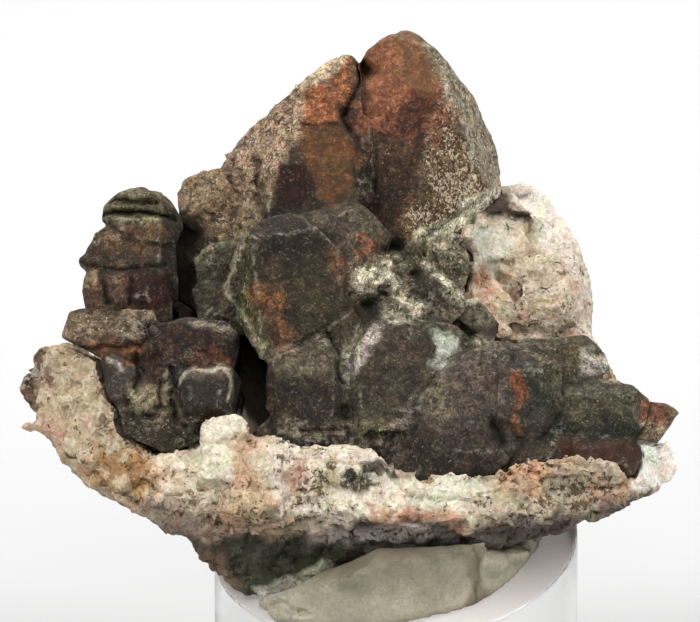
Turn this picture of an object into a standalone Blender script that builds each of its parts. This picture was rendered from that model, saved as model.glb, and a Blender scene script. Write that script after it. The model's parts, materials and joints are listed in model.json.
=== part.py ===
"""Hydrozincite specimen: zoned brown crystals on pale matrix, on putty and a clear slant-cut round.

Run with: blender --background --python part.py, or from Blender's text editor.

The specimen is laid out square to the side it is shown from, in millimetres: ACROSS is to
the right, DEPTH is away from that side and UP is up. It is then leaned back by DISPLAY_LEAN
about the X axis and set over the stand, whose bottom face is centred on the origin, at Z = 0.

A block is an outline across and up, carried back to a smaller root, and then cleaved. A
cleaved face is (across, up, depth, run, rise): a point on it and how many millimetres it
falls back for each millimetre across and for each millimetre up.
"""

import math

import bmesh
import bpy
from mathutils import Matrix, Vector

# Driving dimensions, in metres
STAND_DIAMETER = 0.0508
STAND_HEIGHT = 0.030  # at the axis
STAND_SLANT = math.radians(19.0)  # the top falls toward the front
STAND_ROLL = math.radians(4.0)  # and rises to the right
STAND_EDGE = 0.0005
DISPLAY_LEAN = math.radians(12.0)
SEAT_UP = 0.0083  # the middle of the stand's top, in the specimen's own up
PUTTY_RADIUS = 0.0224
PUTTY_SHIFT = (-0.0024, -0.0010)  # off the stand's axis, to the left and to the front
PUTTY_HEIGHT = 0.0125
GAP = 0.00045  # between touching solids

MM = 0.001
FAR = 70.0

# Outlines, in millimetres across and up ------------------------------------------------

PEAK_CRYSTALS = {
    "peak": dict(
        outline=[
            (1.5, 79.9), (3.2, 79.3), (5.4, 77.4), (8.2, 74), (12.2, 68.4), (14.5, 65),
            (15.2, 61), (15, 57.3), (12, 51.5), (5, 45.5), (0, 45.5), (-7, 54), (-8.2, 66),
            (-5.8, 74), (-4, 77.1), (-2.2, 78.5), (-0.3, 79.4),
        ],
        faces=[
            (6.3, 69, 0, -0.32, 0.46), (4, 64, -1.6, -0.31, 0.16), (6.3, 69, 0, 0.83, 0.0),
            (13, 57.5, 5.6, 2.2, 0.55), (13.5, 57.5, 6, 1.24, -0.65),
            (1, 79, 6.6, 0.05, 1.6),
        ],
        widest=9, root=26, shrink=0.55, shift=(1, -9),
    ),
    "shoulder": dict(
        outline=[
            (-6.6, 76.9), (-10, 75.2), (-13.4, 72.1), (-17.2, 69), (-20.6, 65.8), (-24.3, 61.4),
            (-26, 57),
            (-25, 51), (-20, 48.5), (-8, 51), (-5.3, 56), (-4.6, 70), (-5.2, 75.4),
        ],
        faces=[
            (-9, 66.5, -0.1, -0.05, 0.62), (-10.7, 57, -3.9, -0.1, 0.42),
            (-10.7, 57, -3.9, -0.35, 0.3), (-17.8, 57, -1.4, -0.9, 0.32),
            (-13.4, 68, 1.2, -0.75, 0.62),
        ],
        widest=6, root=22, shrink=0.6, shift=(2, -8),
    ),
    "shoulder_block": dict(
        outline=[
            (-24.6, 60.5), (-27, 60.2), (-29.4, 59), (-30.7, 56.8), (-30.3, 53), (-27.5, 51),
            (-23, 51), (-22.5, 57),
        ],
        faces=[(-27, 56, 1.5, -0.4, 0.35), (-26.5, 54.5, 1.2, 0.3, -0.2)],
        widest=4, root=16, shrink=0.6, shift=(3, -4),
    ),
    "centre": dict(
        outline=[
            (-19.4, 52.9), (-15.2, 54.4), (-12.5, 53.3), (-8, 49.4), (-6, 45), (-5.9, 40.5),
            (-11.7, 35.9), (-15.8, 33.7), (-19, 33.9), (-21.5, 38), (-24.2, 43.2), (-22.3, 50),
        ],
        faces=[
            (-13, 45, -12, 0.08, 0.24), (-20.3, 44, -11.7, -1.5, 0.1),
            (-7.8, 46, -11.2, 1.3, 0.35), (-15, 51.6, -10.3, -0.1, 1.3),
            (-9.5, 38.5, -12.8, 0.75, -0.8),
        ],
        widest=-7, root=10, shrink=0.65, shift=(1, -5),
    ),
    "centre_upper": dict(
        outline=[
            (-14, 53.8), (-10, 55), (-6.4, 56.3), (-3.8, 54.4), (-0.5, 51), (-1.7, 47.8),
            (-6, 44.5), (-12, 47),
        ],
        faces=[
            (-7, 51, -8.4, 0.12, 0.36), (-2.6, 50.8, -7.2, 1.1, 0.5),
            (-7, 54.8, -6.6, -0.3, 1.4),
        ],
        widest=-4, root=14, shrink=0.7, shift=(0, -4),
    ),
    "flank_back": dict(
        outline=[
            (-31, 51.6), (-29, 54.2), (-25, 54), (-21, 50), (-21, 42), (-26, 39), (-30.4, 42),
        ],
        faces=[(-28, 50, 1.6, -0.5, 0.35), (-26, 45, 0.4, 0.2, 0.15)],
        widest=4, root=16, shrink=0.65, shift=(3, -3),
    ),
    "flank_upper": dict(
        outline=[(-28.3, 47.6), (-26, 49.8), (-21.4, 50.6), (-20, 46), (-22, 42.6), (-27.6, 43)],
        faces=[(-25, 47, -5, -0.5, 0.55), (-23.5, 45, -5.3, 0.2, 0.1)],
        widest=-1, root=14, shrink=0.7, shift=(2, -3),
    ),
    "flank_lower": dict(
        outline=[(-28.4, 43.4), (-24.6, 44.6), (-21.6, 43), (-20.6, 39), (-23, 37.6), (-27.6, 39)],
        faces=[(-25, 41.5, -8.6, -0.5, 0.35), (-23, 40, -8.9, 0.3, -0.2)],
        widest=-3, root=11, shrink=0.7, shift=(2, -2),
    ),
    "lower_left": dict(
        outline=[
            (-18, 33.6), (-14, 35.4), (-10, 36.7), (-7.9, 36), (-6.9, 30), (-6.4, 24),
            (-8.5, 22), (-15.7, 21.6), (-18.1, 27),
        ],
        faces=[
            (-12, 28, -18.2, -0.06, 0.22), (-11, 32.8, -17.1, -0.05, 0.85),
            (-8.2, 30, -17.4, 1.4, 0.15), (-17.1, 29, -17.4, -1.6, 0.15),
            (-12, 24, -19, 0, -0.35),
        ],
        widest=-13, root=4, shrink=0.65, shift=(0, -3),
    ),
    "lower_ridge": dict(
        outline=[
            (-10.6, 36.6), (-8.4, 38.6), (-6, 41), (-4.6, 39.4), (-4.4, 33), (-5.6, 27),
            (-8.2, 27.6), (-9.4, 34),
        ],
        faces=[(-7.2, 35, -15.6, 0.6, 0.3), (-7.2, 35, -15.6, -0.9, 0.3)],
        widest=-11, root=4, shrink=0.7, shift=(0, -2),
    ),
    "foot_left": dict(
        outline=[
            (-20.2, 23.2), (-17, 26.4), (-11, 25), (-4, 25), (-1.2, 23), (-2.6, 20.8), (-9, 21.8),
            (-16, 20.8), (-19.4, 21.4),
        ],
        faces=[(-14, 23.6, -18.8, -0.25, 0.5), (-6, 23.6, -19.2, 0.2, 0.6), (-10, 22, -19.6, 0, -0.3)],
        widest=-14, root=0, shrink=0.7, shift=(0, 0),
    ),
    "foot_right": dict(
        outline=[
            (13.6, 20.4), (15, 24), (22, 25), (24.6, 22.6), (23.8, 18.8), (17, 18.4), (13.4, 17.4),
        ],
        faces=[(17, 21.6, -18.9, 0.2, 0.4), (22, 21.6, -17.8, 0.7, 0.2), (18, 19.6, -19.2, 0.2, -0.3)],
        widest=-13, root=0, shrink=0.7, shift=(0, 0),
    ),
    "lower_middle": dict(
        outline=[
            (-7.3, 30), (-5.8, 35), (-3.4, 39), (2, 39.6), (7, 38.8), (12, 36.8), (13, 30),
            (2, 24), (-5.6, 23.8), (-7.2, 26),
        ],
        faces=[
            (-2, 31, -17.2, 0.1, 0.42), (-5.7, 32.5, -16.3, -1.3, 0.35),
            (1.5, 37.8, -14, 0, 1.3), (7, 35, -14.6, 0.4, 0.5),
        ],
        widest=-10, root=6, shrink=0.65, shift=(0, -3),
    ),
    "lower_right": dict(
        outline=[
            (8, 34.1), (14, 36.4), (16.2, 35), (17, 22), (15.2, 19), (10, 15.8), (3, 16.3),
            (-2.4, 16.7), (-3.1, 19.6), (1, 26),
        ],
        faces=[
            (10, 26, -20.6, 0.07, 0.26), (6, 28, -20.2, -0.6, 0.3), (8, 21, -22, 0.05, -0.3),
            (12, 33.8, -18.4, -0.1, 0.9), (15.4, 27, -20, 1.3, 0.2), (0, 20, -20.3, -0.7, -0.1),
        ],
        widest=-14, root=4, shrink=0.65, shift=(0, -2),
    ),
    "lower_edge": dict(
        outline=[
            (14, 36.3), (18, 35.4), (23, 32.7), (23.2, 27), (21, 23.6), (16.5, 21.2), (14.2, 23.6),
        ],
        faces=[
            (18, 29, -19, 0.35, 0.22), (20.6, 29.5, -17.9, 0.95, 0.3),
            (18.3, 33.4, -17.2, 0.3, 1.0), (18.5, 24.5, -19.6, 0.2, -0.5),
        ],
        widest=-12, root=4, shrink=0.65, shift=(-1, -2),
    ),
    "right_slab": dict(
        outline=[
            (21.4, 30.2), (28, 31.1), (33, 30), (35.3, 28), (34.6, 24.4), (32, 22), (23, 21.9),
            (20.4, 24),
        ],
        faces=[
            (28, 26, -15, 0.16, 0.1), (27, 29.2, -14.4, 0.15, 1.5), (29, 23.6, -15.2, 0.2, -0.9),
            (33.6, 27, -13.6, 1.4, 0.2),
        ],
        widest=-9, root=2, shrink=0.7, shift=(-3, -1),
    ),
    "right_lobe": dict(
        outline=[
            (22.6, 22.8), (28, 23.4), (33.2, 22.9), (34.3, 20.4), (33, 17.7), (29, 16.9),
            (25, 17.8), (23, 20.3),
        ],
        faces=[
            (28, 20.4, -17.6, 0.12, 0.05), (28, 22, -17.1, 0.15, 0.9),
            (28, 18.8, -17.4, 0.1, -0.8), (32, 20.2, -16.8, 1.0, 0.1),
            (24.4, 20.4, -17.3, -0.9, 0.1),
        ],
        widest=-12, root=0, shrink=0.7, shift=(-3, 0),
    ),
    "right_tip": dict(
        outline=[(33.6, 28.1), (38, 27.5), (39.7, 26.2), (38.1, 24.1), (36.5, 22.1), (33, 22.8)],
        faces=[(36, 26, -9.4, 0.35, 0.4), (36.4, 24.2, -9.7, 0.5, -0.5)],
        widest=-6, root=2, shrink=0.7, shift=(-5, 0),
    ),
    "right_ledge": dict(
        outline=[
            (17, 36.4), (25, 36.7), (26.6, 37.2), (28.2, 35), (29.5, 34.2), (29.9, 32.4),
            (27, 30), (18, 30.4),
        ],
        faces=[(23, 34, -11.5, 0.2, 0.5), (24, 35.8, -10, 0.2, 1.4), (27.8, 33, -10.2, 0.8, 0.3)],
        widest=-7, root=4, shrink=0.7, shift=(-3, -1),
    ),
    "rubble_1": dict(
        outline=[(-6.4, 44.6), (-4, 47.6), (-0.4, 47), (0.6, 43.6), (-2, 41.8), (-5.8, 42.4)],
        faces=[(-3, 45, -9.4, 0.2, 0.6), (-2, 43.4, -9.9, 0.3, -0.3)],
        widest=-6, root=12, shrink=0.7, shift=(0, -2),
    ),
    "rubble_2": dict(
        outline=[(-0.8, 46.6), (2.4, 48.2), (5.4, 46.4), (5, 43.4), (1.8, 42.2), (-0.4, 43.4)],
        faces=[(2, 45.4, -7.8, -0.4, 0.7), (3.4, 44.4, -7.9, 0.6, 0.1)],
        widest=-5, root=12, shrink=0.7, shift=(0, -2),
    ),
    "rubble_3": dict(
        outline=[(2.6, 44.6), (6, 45.8), (9.6, 43.6), (9.4, 40.4), (5, 38), (2, 40.4)],
        faces=[(5.6, 42.6, -9.2, 0.3, 0.45), (4.4, 40.8, -9.9, -0.5, 0.1)],
        widest=-6, root=12, shrink=0.7, shift=(0, -2),
    ),
    "rubble_4": dict(
        outline=[(-6.2, 41.6), (-2.6, 42.6), (1.6, 41.6), (2.8, 38.6), (-2, 36.8), (-6.6, 38.6)],
        faces=[(-2, 40.4, -11.4, -0.2, 0.7), (-1, 38.8, -12.2, 0.4, 0.2)],
        widest=-8, root=10, shrink=0.7, shift=(0, -2),
    ),
    "rubble_5": dict(
        outline=[(4.4, 50.6), (8.4, 51.4), (10.4, 48.4), (9.8, 44.4), (6.4, 43.6), (4, 46.4)],
        faces=[(7, 48, -3.2, 0.25, 0.5), (6.2, 46, -3.8, -0.5, 0.2)],
        widest=0, root=15, shrink=0.7, shift=(0, -2),
    ),
    "rubble_6": dict(
        outline=[(7.6, 41.6), (11.4, 42.2), (14.4, 38.6), (13.6, 35.8), (8, 36.2), (6.6, 38.8)],
        faces=[(10.6, 39.4, -6.6, 0.2, 0.8), (9, 38, -7.2, -0.4, 0.2)],
        widest=-3, root=10, shrink=0.7, shift=(0, -2),
    ),
}

TOWER_CRYSTALS = {
    "tower_cap": dict(
        outline=[
            (-31, 54.9), (-32.4, 56.8), (-35.5, 58), (-38.8, 57.1), (-40.9, 55.2), (-41.2, 53),
            (-38, 51.4), (-31, 50.8), (-29.7, 52.3),
        ],
        faces=[
            (-36, 54.2, -5.4, 0.02, 0.5), (-36, 56.4, -3.9, -0.05, 1.6),
            (-32, 53.4, -4.8, 1.0, 0.4), (-39.6, 54, -4.6, -1.1, 0.3),
        ],
        widest=-1, root=7, shrink=0.5, shift=(2, -3),
    ),
    "tower_body": dict(
        outline=[
            (-42, 51.3), (-39, 53.2), (-33.5, 53.2), (-30.9, 50), (-30.5, 44), (-32.5, 40.6),
            (-39.6, 41.5), (-42.8, 45.2), (-43.3, 48.9),
        ],
        faces=[
            (-36.5, 48, -6.6, -0.05, 0.18), (-41, 49, -6, -1.0, 0.2), (-32.6, 47.5, -6.2, 1.2, 0.1),
            (-37, 43.8, -7.1, 0, -0.7), (-36.5, 51.6, -6, 0, 0.9),
        ],
        widest=-2, root=8, shrink=0.5, shift=(1, -4),
    ),
    "tower_nub": dict(
        outline=[(-41.5, 49.4), (-44.6, 47.7), (-43.9, 46.3), (-40.6, 45.4)],
        faces=[(-42.8, 47.6, -4.6, -0.5, 0.5), (-42.6, 46.9, -4.7, -0.4, -0.7)],
        widest=-2, root=2, shrink=0.8, shift=(2, 0),
    ),
    "tower_foot": dict(
        outline=[
            (-44, 43.6), (-43.5, 45.6), (-40, 47.4), (-34, 46.6), (-31.4, 43), (-31.8, 40.5),
            (-38, 39.2), (-43.4, 40.6),
        ],
        faces=[
            (-38, 44, -8.2, -0.1, 0.5), (-41.6, 43, -7.7, -0.9, 0.3), (-37.5, 41.4, -8.6, 0, -0.4),
            (-33.4, 43, -7.8, 0.9, 0.3),
        ],
        widest=-4, root=12, shrink=0.6, shift=(3, -5),
    ),
}

LEFT_CRYSTALS = {
    "drusy_slab": dict(
        outline=[
            (-45.6, 40.4), (-42, 41), (-34, 40.6), (-32.6, 38), (-35, 34.6), (-42, 34.4),
            (-46.6, 36.8),
        ],
        faces=[(-40, 37.6, -11.6, -0.15, 0.75), (-38, 35.8, -12.6, 0, -0.1)],
        widest=-7, root=8, shrink=0.7, shift=(3, -3),
    ),
    "left_upper": dict(
        outline=[
            (-34.6, 38.4), (-29, 39.6), (-24, 39.2), (-21.8, 37.6), (-21.9, 34), (-27, 31.4),
            (-32.4, 31), (-35.6, 34.6),
        ],
        faces=[
            (-29, 36.6, -13.2, -0.05, 0.55), (-28, 34, -14.4, 0.1, 0.05),
            (-33.6, 35, -13.4, -0.9, 0.3), (-23, 36, -13, 1.0, 0.3),
        ],
        widest=-9, root=6, shrink=0.7, shift=(1, -3),
    ),
    "left_ball": dict(
        outline=[
            (-31.2, 29), (-30, 31.9), (-26.5, 33.2), (-22.8, 32.8), (-21.4, 30.6), (-22.2, 27),
            (-24.5, 25.2), (-28.5, 25), (-30.9, 26.4),
        ],
        faces=[
            (-26.6, 29, -18.2, 0.0, 0.16), (-26.6, 31.2, -17.8, 0.0, 0.7),
            (-26.6, 32.2, -16.9, 0.0, 1.6), (-29.4, 29, -17.8, -0.6, 0.1),
            (-30.5, 29, -16.8, -1.6, 0.1), (-23.6, 29.4, -17.6, 0.6, 0.1),
            (-22.4, 29.4, -16.6, 1.6, 0.1), (-26.6, 26.4, -18, 0, -0.8),
        ],
        widest=-13, root=-2, shrink=0.7, shift=(1, -2),
    ),
    "left_chip": dict(
        outline=[(-37.4, 29), (-36, 30.6), (-33.8, 30.5), (-32.5, 28.5), (-33, 26), (-36.4, 25.4)],
        faces=[(-35, 28.5, -16.8, -0.3, 0.4), (-34.6, 27.2, -17, 0.4, -0.3)],
        widest=-13, root=-4, shrink=0.7, shift=(1, -1),
    ),
    "left_wedge": dict(
        outline=[(-41, 33.4), (-39.6, 34.6), (-35.6, 32.4), (-36.6, 27.8), (-38.8, 26.8), (-40.4, 29.6)],
        faces=[(-38.4, 31.2, -15.4, -0.4, 0.45), (-37.6, 29, -15.9, 0.4, -0.2)],
        widest=-11, root=-2, shrink=0.7, shift=(2, -1),
    ),
    "left_rubble": dict(
        outline=[(-38.6, 26.6), (-34, 27.6), (-29.6, 27), (-26.6, 22.6), (-31.8, 20.4), (-38, 23.4)],
        faces=[(-33.5, 24.8, -17.6, -0.15, 0.5), (-32, 22.6, -18.4, 0.2, -0.2)],
        widest=-14, root=-4, shrink=0.7, shift=(1, 0),
    ),
    "left_rubble_2": dict(
        outline=[(-35.8, 32.6), (-33, 34), (-29.4, 32.6), (-29.2, 29), (-33, 28), (-36, 30)],
        faces=[(-32.6, 31.4, -15.4, -0.3, 0.6), (-32, 30, -15.8, 0.3, 0)],
        widest=-11, root=-2, shrink=0.7, shift=(1, -1),
    ),
}

MATRIX_BLOCKS = {
    "core": dict(
        outline=[
            (-45, 34), (-38, 41.5), (-28.5, 51), (-18, 58), (2, 62), (14, 58), (23, 50),
            (26, 40.5), (29, 32.5), (33, 27), (36, 21), (35, 17), (28, 12.6), (10, 9.4),
            (-22, 9.8), (-38, 14.8), (-46, 22),
        ],
        faces=[(0, 18, -12.5, 0.0, 0.86)],
        widest=-5, root=27, shrink=0.72, shift=(0, 11),
    ),
    "band_left": dict(
        outline=[
            (-46, 36.4), (-50, 35.2), (-51.9, 31), (-50.8, 26.5), (-47, 20), (-43.4, 16.4),
            (-40, 14.4), (-36.4, 12.6), (-33.6, 19), (-36.6, 26), (-40, 31.8), (-43, 35),
        ],
        faces=[
            (-44, 27, -12, -0.5, 0.18), (-38, 21, -16.2, -0.35, -0.05),
            (-42, 17.6, -12.6, -0.5, -0.9), (-46, 34, -8.6, -0.6, 0.9), (-50, 30, -6, -1.3, 0.2),
        ],
        widest=-2, root=12, shrink=0.6, shift=(5, 2),
    ),
    "ledge_tip": dict(
        outline=[(-52.3, 24.1), (-50, 25.6), (-46, 25.4), (-44.4, 22), (-48, 22.6)],
        faces=[(-49, 24.6, -8.2, -0.4, 0.7), (-48.6, 23.6, -8.6, -0.4, -0.5)],
        widest=-5, root=4, shrink=0.6, shift=(4, 0),
    ),
    "band_mid_left": dict(
        outline=[
            (-38.4, 24.2), (-35.5, 22.4), (-31, 20.8), (-24, 21.2), (-17, 22), (-14.4, 10.6),
            (-22, 9.6), (-29, 9), (-32.4, 10), (-36.4, 12.6), (-40, 15),
        ],
        faces=[
            (-27, 16, -20.6, -0.28, 0.16), (-27, 11.6, -20.6, -0.3, -0.75),
            (-28, 19.6, -19.9, -0.2, 1.2),
        ],
        widest=-11, root=6, shrink=0.8, shift=(2, 3),
    ),
    "knob": dict(
        outline=[
            (-27, 24.4), (-26.3, 25.8), (-23, 26.3), (-21.2, 25.4), (-19, 23), (-19.4, 18),
            (-27.6, 18),
        ],
        faces=[(-24, 23, -21.2, -0.2, 0.3), (-21.6, 22.6, -21.2, 0.7, 0.4)],
        widest=-17, root=-8, shrink=0.7, shift=(0, -3),
    ),
    "band_middle": dict(
        outline=[
            (-20, 22), (-14, 21.4), (-6, 22.4), (-2.6, 20), (1, 17.6), (2, 11), (-10, 9.4),
            (-21, 9.6), (-22, 16),
        ],
        faces=[
            (-10, 16, -23.4, -0.04, 0.14), (-10, 12, -23.2, 0, -0.9), (-9, 20.4, -22.4, 0, 1.1),
            (-20, 16, -22.4, -0.6, 0.1),
        ],
        widest=-14, root=2, shrink=0.8, shift=(0, 3),
    ),
    "band_lump_1": dict(
        outline=[(-24.4, 17.6), (-20.5, 19.8), (-16.8, 18), (-16, 13.4), (-19.6, 10.8), (-24, 12)],
        faces=[(-20.2, 16, -23.6, -0.1, 0.35), (-20, 13, -24, 0, -0.6), (-23, 15, -22.8, -0.9, 0)],
        widest=-19, root=-8, shrink=0.8, shift=(0, 0),
    ),
    "band_lump_2": dict(
        outline=[(-34.6, 19), (-31, 20.4), (-27.8, 18), (-28, 13.2), (-32, 11.8), (-35.4, 14.4)],
        faces=[(-31.2, 17, -20.2, -0.35, 0.3), (-31, 14, -20.4, -0.3, -0.5)],
        widest=-15, root=-6, shrink=0.8, shift=(1, 1),
    ),
    "band_lump_3": dict(
        outline=[(-12.6, 20.2), (-8, 21.8), (-5.2, 19), (-6, 14.4), (-10.4, 13.2), (-13.4, 16)],
        faces=[(-9, 18, -24.6, 0.05, 0.3), (-9.4, 15, -24.6, 0.1, -0.5)],
        widest=-20, root=-8, shrink=0.8, shift=(0, 0),
    ),
    "band_right": dict(
        outline=[
            (-3.4, 17.6), (2.5, 17.8), (9.5, 16.2), (16, 19.2), (23, 19.4), (25, 12.4),
            (20, 10.6), (10, 9.6), (0, 9.8), (-4, 11.6),
        ],
        faces=[
            (10, 14, -23, 0.08, 0.12), (10, 11.4, -22.8, 0.1, -0.9), (9, 16.2, -22.4, 0.1, 1.1),
            (20, 15, -21.4, 0.5, 0.1),
        ],
        widest=-14, root=2, shrink=0.8, shift=(0, 3),
    ),
    "band_lump_4": dict(
        outline=[(-4.6, 14.6), (0, 16), (6, 14.6), (8, 11.6), (2, 9.8), (-4, 11.4)],
        faces=[(1, 13.4, -24.2, 0.05, 0.4), (1.5, 11.6, -24.4, 0.1, -0.5)],
        widest=-19, root=-8, shrink=0.8, shift=(0, 0),
    ),
    "band_far_right": dict(
        outline=[
            (15, 19.6), (23, 19.6), (29, 18.6), (34, 20), (37.6, 17.4), (36.8, 15.8),
            (34, 14.6), (30, 12.4), (24, 10.8), (16, 10.4),
        ],
        faces=[
            (26, 15.6, -18.6, 0.36, 0.2), (26, 13, -18.4, 0.35, -0.9), (24, 18.4, -18.9, 0.3, 1.1),
            (35, 17, -12.6, 1.2, 0.2),
        ],
        widest=-6, root=6, shrink=0.75, shift=(-2, 4),
    ),
    "right_lens": dict(
        outline=[
            (33.6, 24.6), (36.6, 23.4), (38.4, 21.6), (39.1, 19), (38.3, 16.6), (35, 15.4),
            (32.6, 18),
        ],
        faces=[(36, 20, -9.8, 0.3, 0.15), (35.6, 18, -10, 0.3, -0.5), (37.6, 20, -8.8, 1.3, 0.2)],
        widest=-5, root=6, shrink=0.7, shift=(-4, 1),
    ),
    "keel": dict(
        outline=[
            (-30, 10.4), (-28.4, 7.4), (-25, 4), (-22, 1.9), (-19.8, -0.2), (-16.8, -0.3),
            (-13, 1.1), (-10, 3.4), (-6.6, 5.8), (-3, 7.2), (2, 9.6), (0, 12), (-20, 12.6),
        ],
        faces=[(-14, 5, -17.2, -0.02, -0.52), (-24, 5, -14.6, -0.8, -0.55)],
        widest=-12, root=2, shrink=0.72, shift=(1, 9),
    ),
    "underside": dict(
        outline=[
            (-9, 5.6), (-4, 6.9), (5, 7.5), (11, 7.1), (15, 7.5), (20, 9.3), (26, 10.7),
            (30.4, 12.5), (34, 15), (28, 17), (-8, 14),
        ],
        faces=[
            (6, 9, -20.2, 0.06, -0.75), (24, 11, -17, 0.3, -0.6), (6, 12.5, -22.4, 0.06, 0.1),
        ],
        widest=-12, root=4, shrink=0.75, shift=(-1, 7),
    ),
    "wall": dict(
        outline=[
            (8, 56.6), (14.8, 59.8), (18, 60.6), (20, 60.2), (21.6, 57.5), (23.6, 54.3),
            (25.5, 50.8), (26.9, 46.6), (27.9, 41.6), (27.9, 35), (22, 31), (8, 31), (4, 44),
        ],
        faces=[
            (17, 47, 5.6, 0.12, 0.3), (16, 56, 8.6, 0.2, 0.7), (23, 50, 7.4, 0.9, 0.25),
            (16, 39, 3.4, 0.1, 0.5),
        ],
        widest=11, root=25, shrink=0.7, shift=(-2, -6),
    ),
    "wall_lump_1": dict(
        outline=[(11, 51.6), (14, 53.6), (18, 52.4), (18.6, 48), (15, 45.4), (11.4, 46.6)],
        faces=[(14.6, 50, 4.6, 0.1, 0.45), (15, 47.4, 4.2, 0.25, -0.35)],
        widest=9, root=14, shrink=0.8, shift=(0, 0),
    ),
    "wall_lump_2": dict(
        outline=[(17.6, 46.6), (22, 48.8), (25.6, 46), (26.4, 40), (22, 37.2), (17.4, 39.6)],
        faces=[(21.6, 43.6, 2.6, 0.1, 0.4), (22, 40, 2, 0.2, -0.3), (25, 43, 4, 1.1, 0.2)],
        widest=8, root=14, shrink=0.8, shift=(0, 0),
    ),
    "wall_lump_3": dict(
        outline=[(9.6, 44.8), (13.6, 45.4), (16.6, 41.8), (15.6, 37.2), (10, 36.6), (8, 41)],
        faces=[(12.2, 42, 1.4, 0.05, 0.5), (12.4, 39.4, 1, 0.2, -0.2)],
        widest=6, root=12, shrink=0.8, shift=(0, 0),
    ),
    "wall_brow": dict(
        outline=[(9, 55.4), (12, 57.2), (16.6, 57), (19.4, 54), (17, 52.8), (11.6, 53.2)],
        faces=[(14, 55.6, 5.6, 0.1, 0.7), (14.4, 54, 5.2, 0.15, -0.5)],
        widest=9, root=15, shrink=0.8, shift=(0, 0),
    ),
    "back_left": dict(
        outline=[
            (-41, 33), (-37, 40), (-30, 46), (-22, 47), (-18, 38), (-21, 26), (-30, 20),
            (-40, 24),
        ],
        faces=[(-30, 34, 6, 0, 0.8)],
        widest=10, root=24, shrink=0.6, shift=(3, 4),
    ),
    "back_middle": dict(
        outline=[
            (-20, 50), (-8, 57), (6, 54), (12, 42), (9, 30), (-2, 23), (-14, 25), (-22, 36),
        ],
        faces=[(-4, 40, 9, 0, 0.8)],
        widest=21, root=31, shrink=0.64, shift=(1, 2),
    ),
    "back_right": dict(
        outline=[
            (6, 46), (13, 52), (22, 49), (27, 39), (31, 30), (29, 22), (18, 18), (7, 24),
        ],
        faces=[(16, 36, 6, 0, 0.8)],
        widest=14, root=28, shrink=0.58, shift=(-2, 4),
    ),
    "back_foot": dict(
        outline=[
            (-24, 30), (-16, 38), (0, 40), (16, 36), (24, 28), (18, 20), (-2, 17.6), (-20, 20),
        ],
        faces=[(0, 26, 0, 0, 0.8)],
        widest=11, root=29, shrink=0.72, shift=(0, 8),
    ),
}


# Tools ---------------------------------------------------------------------------------


def plane(faces_row):
    """A point on a cleaved face and its normal, which points to the side it is shown from."""
    across, up, depth, run, rise = faces_row
    return Vector((across, depth, up)), Vector((run, -1.0, rise)).normalized()


def cleave(bm, point, normal):
    """Removes all that lies beyond a plane and closes the cut."""
    everything = bm.verts[:] + bm.edges[:] + bm.faces[:]
    cut = bmesh.ops.bisect_plane(
        bm, geom=everything, dist=1e-4, plane_co=point, plane_no=normal, clear_outer=True
    )
    rim = [item for item in cut["geom_cut"] if isinstance(item, bmesh.types.BMEdge)]
    if rim:
        bmesh.ops.holes_fill(bm, edges=rim, sides=0)


def block(outline, faces, widest, root, shrink, shift):
    """A convex block: the outline from far in front to its widest, a smaller root, cleaved."""
    middle = Vector((0.0, 0.0))
    for corner in outline:
        middle += Vector(corner) / len(outline)
    bm = bmesh.new()
    for across, up in outline:
        bm.verts.new((across, -FAR, up))
        bm.verts.new((across, widest, up))
        small = middle + (Vector((across, up)) - middle) * shrink + Vector(shift)
        bm.verts.new((small.x, root, small.y))
    hull = bmesh.ops.convex_hull(bm, input=bm.verts)
    spare = [item for item in hull["geom_interior"] if isinstance(item, bmesh.types.BMVert)]
    bmesh.ops.delete(bm, geom=spare, context="VERTS")
    bmesh.ops.dissolve_limit(
        bm, angle_limit=math.radians(0.5), verts=bm.verts, edges=bm.edges
    )
    for row in faces:
        cleave(bm, *plane(row))
    bmesh.ops.recalc_face_normals(bm, faces=bm.faces)
    return bm


def grown(bm, distance):
    """The same block with each corner moved out, for the clearance round it."""
    bm.normal_update()
    wide = bmesh.new()
    for vert in bm.verts:
        reach = min(vert.calc_shell_factor(), 1.8)
        wide.verts.new(vert.co + vert.normal * distance * reach)
    hull = bmesh.ops.convex_hull(wide, input=wide.verts)
    spare = [item for item in hull["geom_interior"] if isinstance(item, bmesh.types.BMVert)]
    bmesh.ops.delete(wide, geom=spare, context="VERTS")
    return wide


LEAN = Matrix.Rotation(-DISPLAY_LEAN, 4, "X")
SEAT = LEAN @ Vector((0.0, 0.0, SEAT_UP))
SEAT_DEPTH = -SEAT.y / math.cos(DISPLAY_LEAN)
SEAT = LEAN @ Vector((0.0, SEAT_DEPTH, SEAT_UP))
TO_STAND = Matrix.Translation((0.0, 0.0, STAND_HEIGHT - SEAT.z)) @ LEAN @ Matrix.Scale(MM, 4)


def collection(name, helper=False):
    made = bpy.data.collections.new(name)
    bpy.context.scene.collection.children.link(made)
    made.hide_render = helper
    return made


def material(name, colour, roughness, **values):
    made = bpy.data.materials.new(name)
    made.use_nodes = True
    made.diffuse_color = (*colour, 1.0)
    shader = made.node_tree.nodes["Principled BSDF"]
    shader.inputs["Base Color"].default_value = (*colour, 1.0)
    shader.inputs["Roughness"].default_value = roughness
    shader.inputs["Metallic"].default_value = 0.0
    for socket, value in values.items():
        shader.inputs[socket].default_value = value
    return made


def add_object(name, bm, into, skin=None, matrix=TO_STAND):
    """An object from a bmesh laid out in millimetres, moved to its place over the stand."""
    mesh = bpy.data.meshes.new(name)
    bm.transform(matrix)
    bmesh.ops.recalc_face_normals(bm, faces=bm.faces)
    bm.to_mesh(mesh)
    bm.free()
    made = bpy.data.objects.new(name, mesh)
    into.objects.link(made)
    if skin:
        mesh.materials.append(skin)
    else:
        made.hide_render = True
        made.display_type = "WIRE"
    return made


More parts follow.
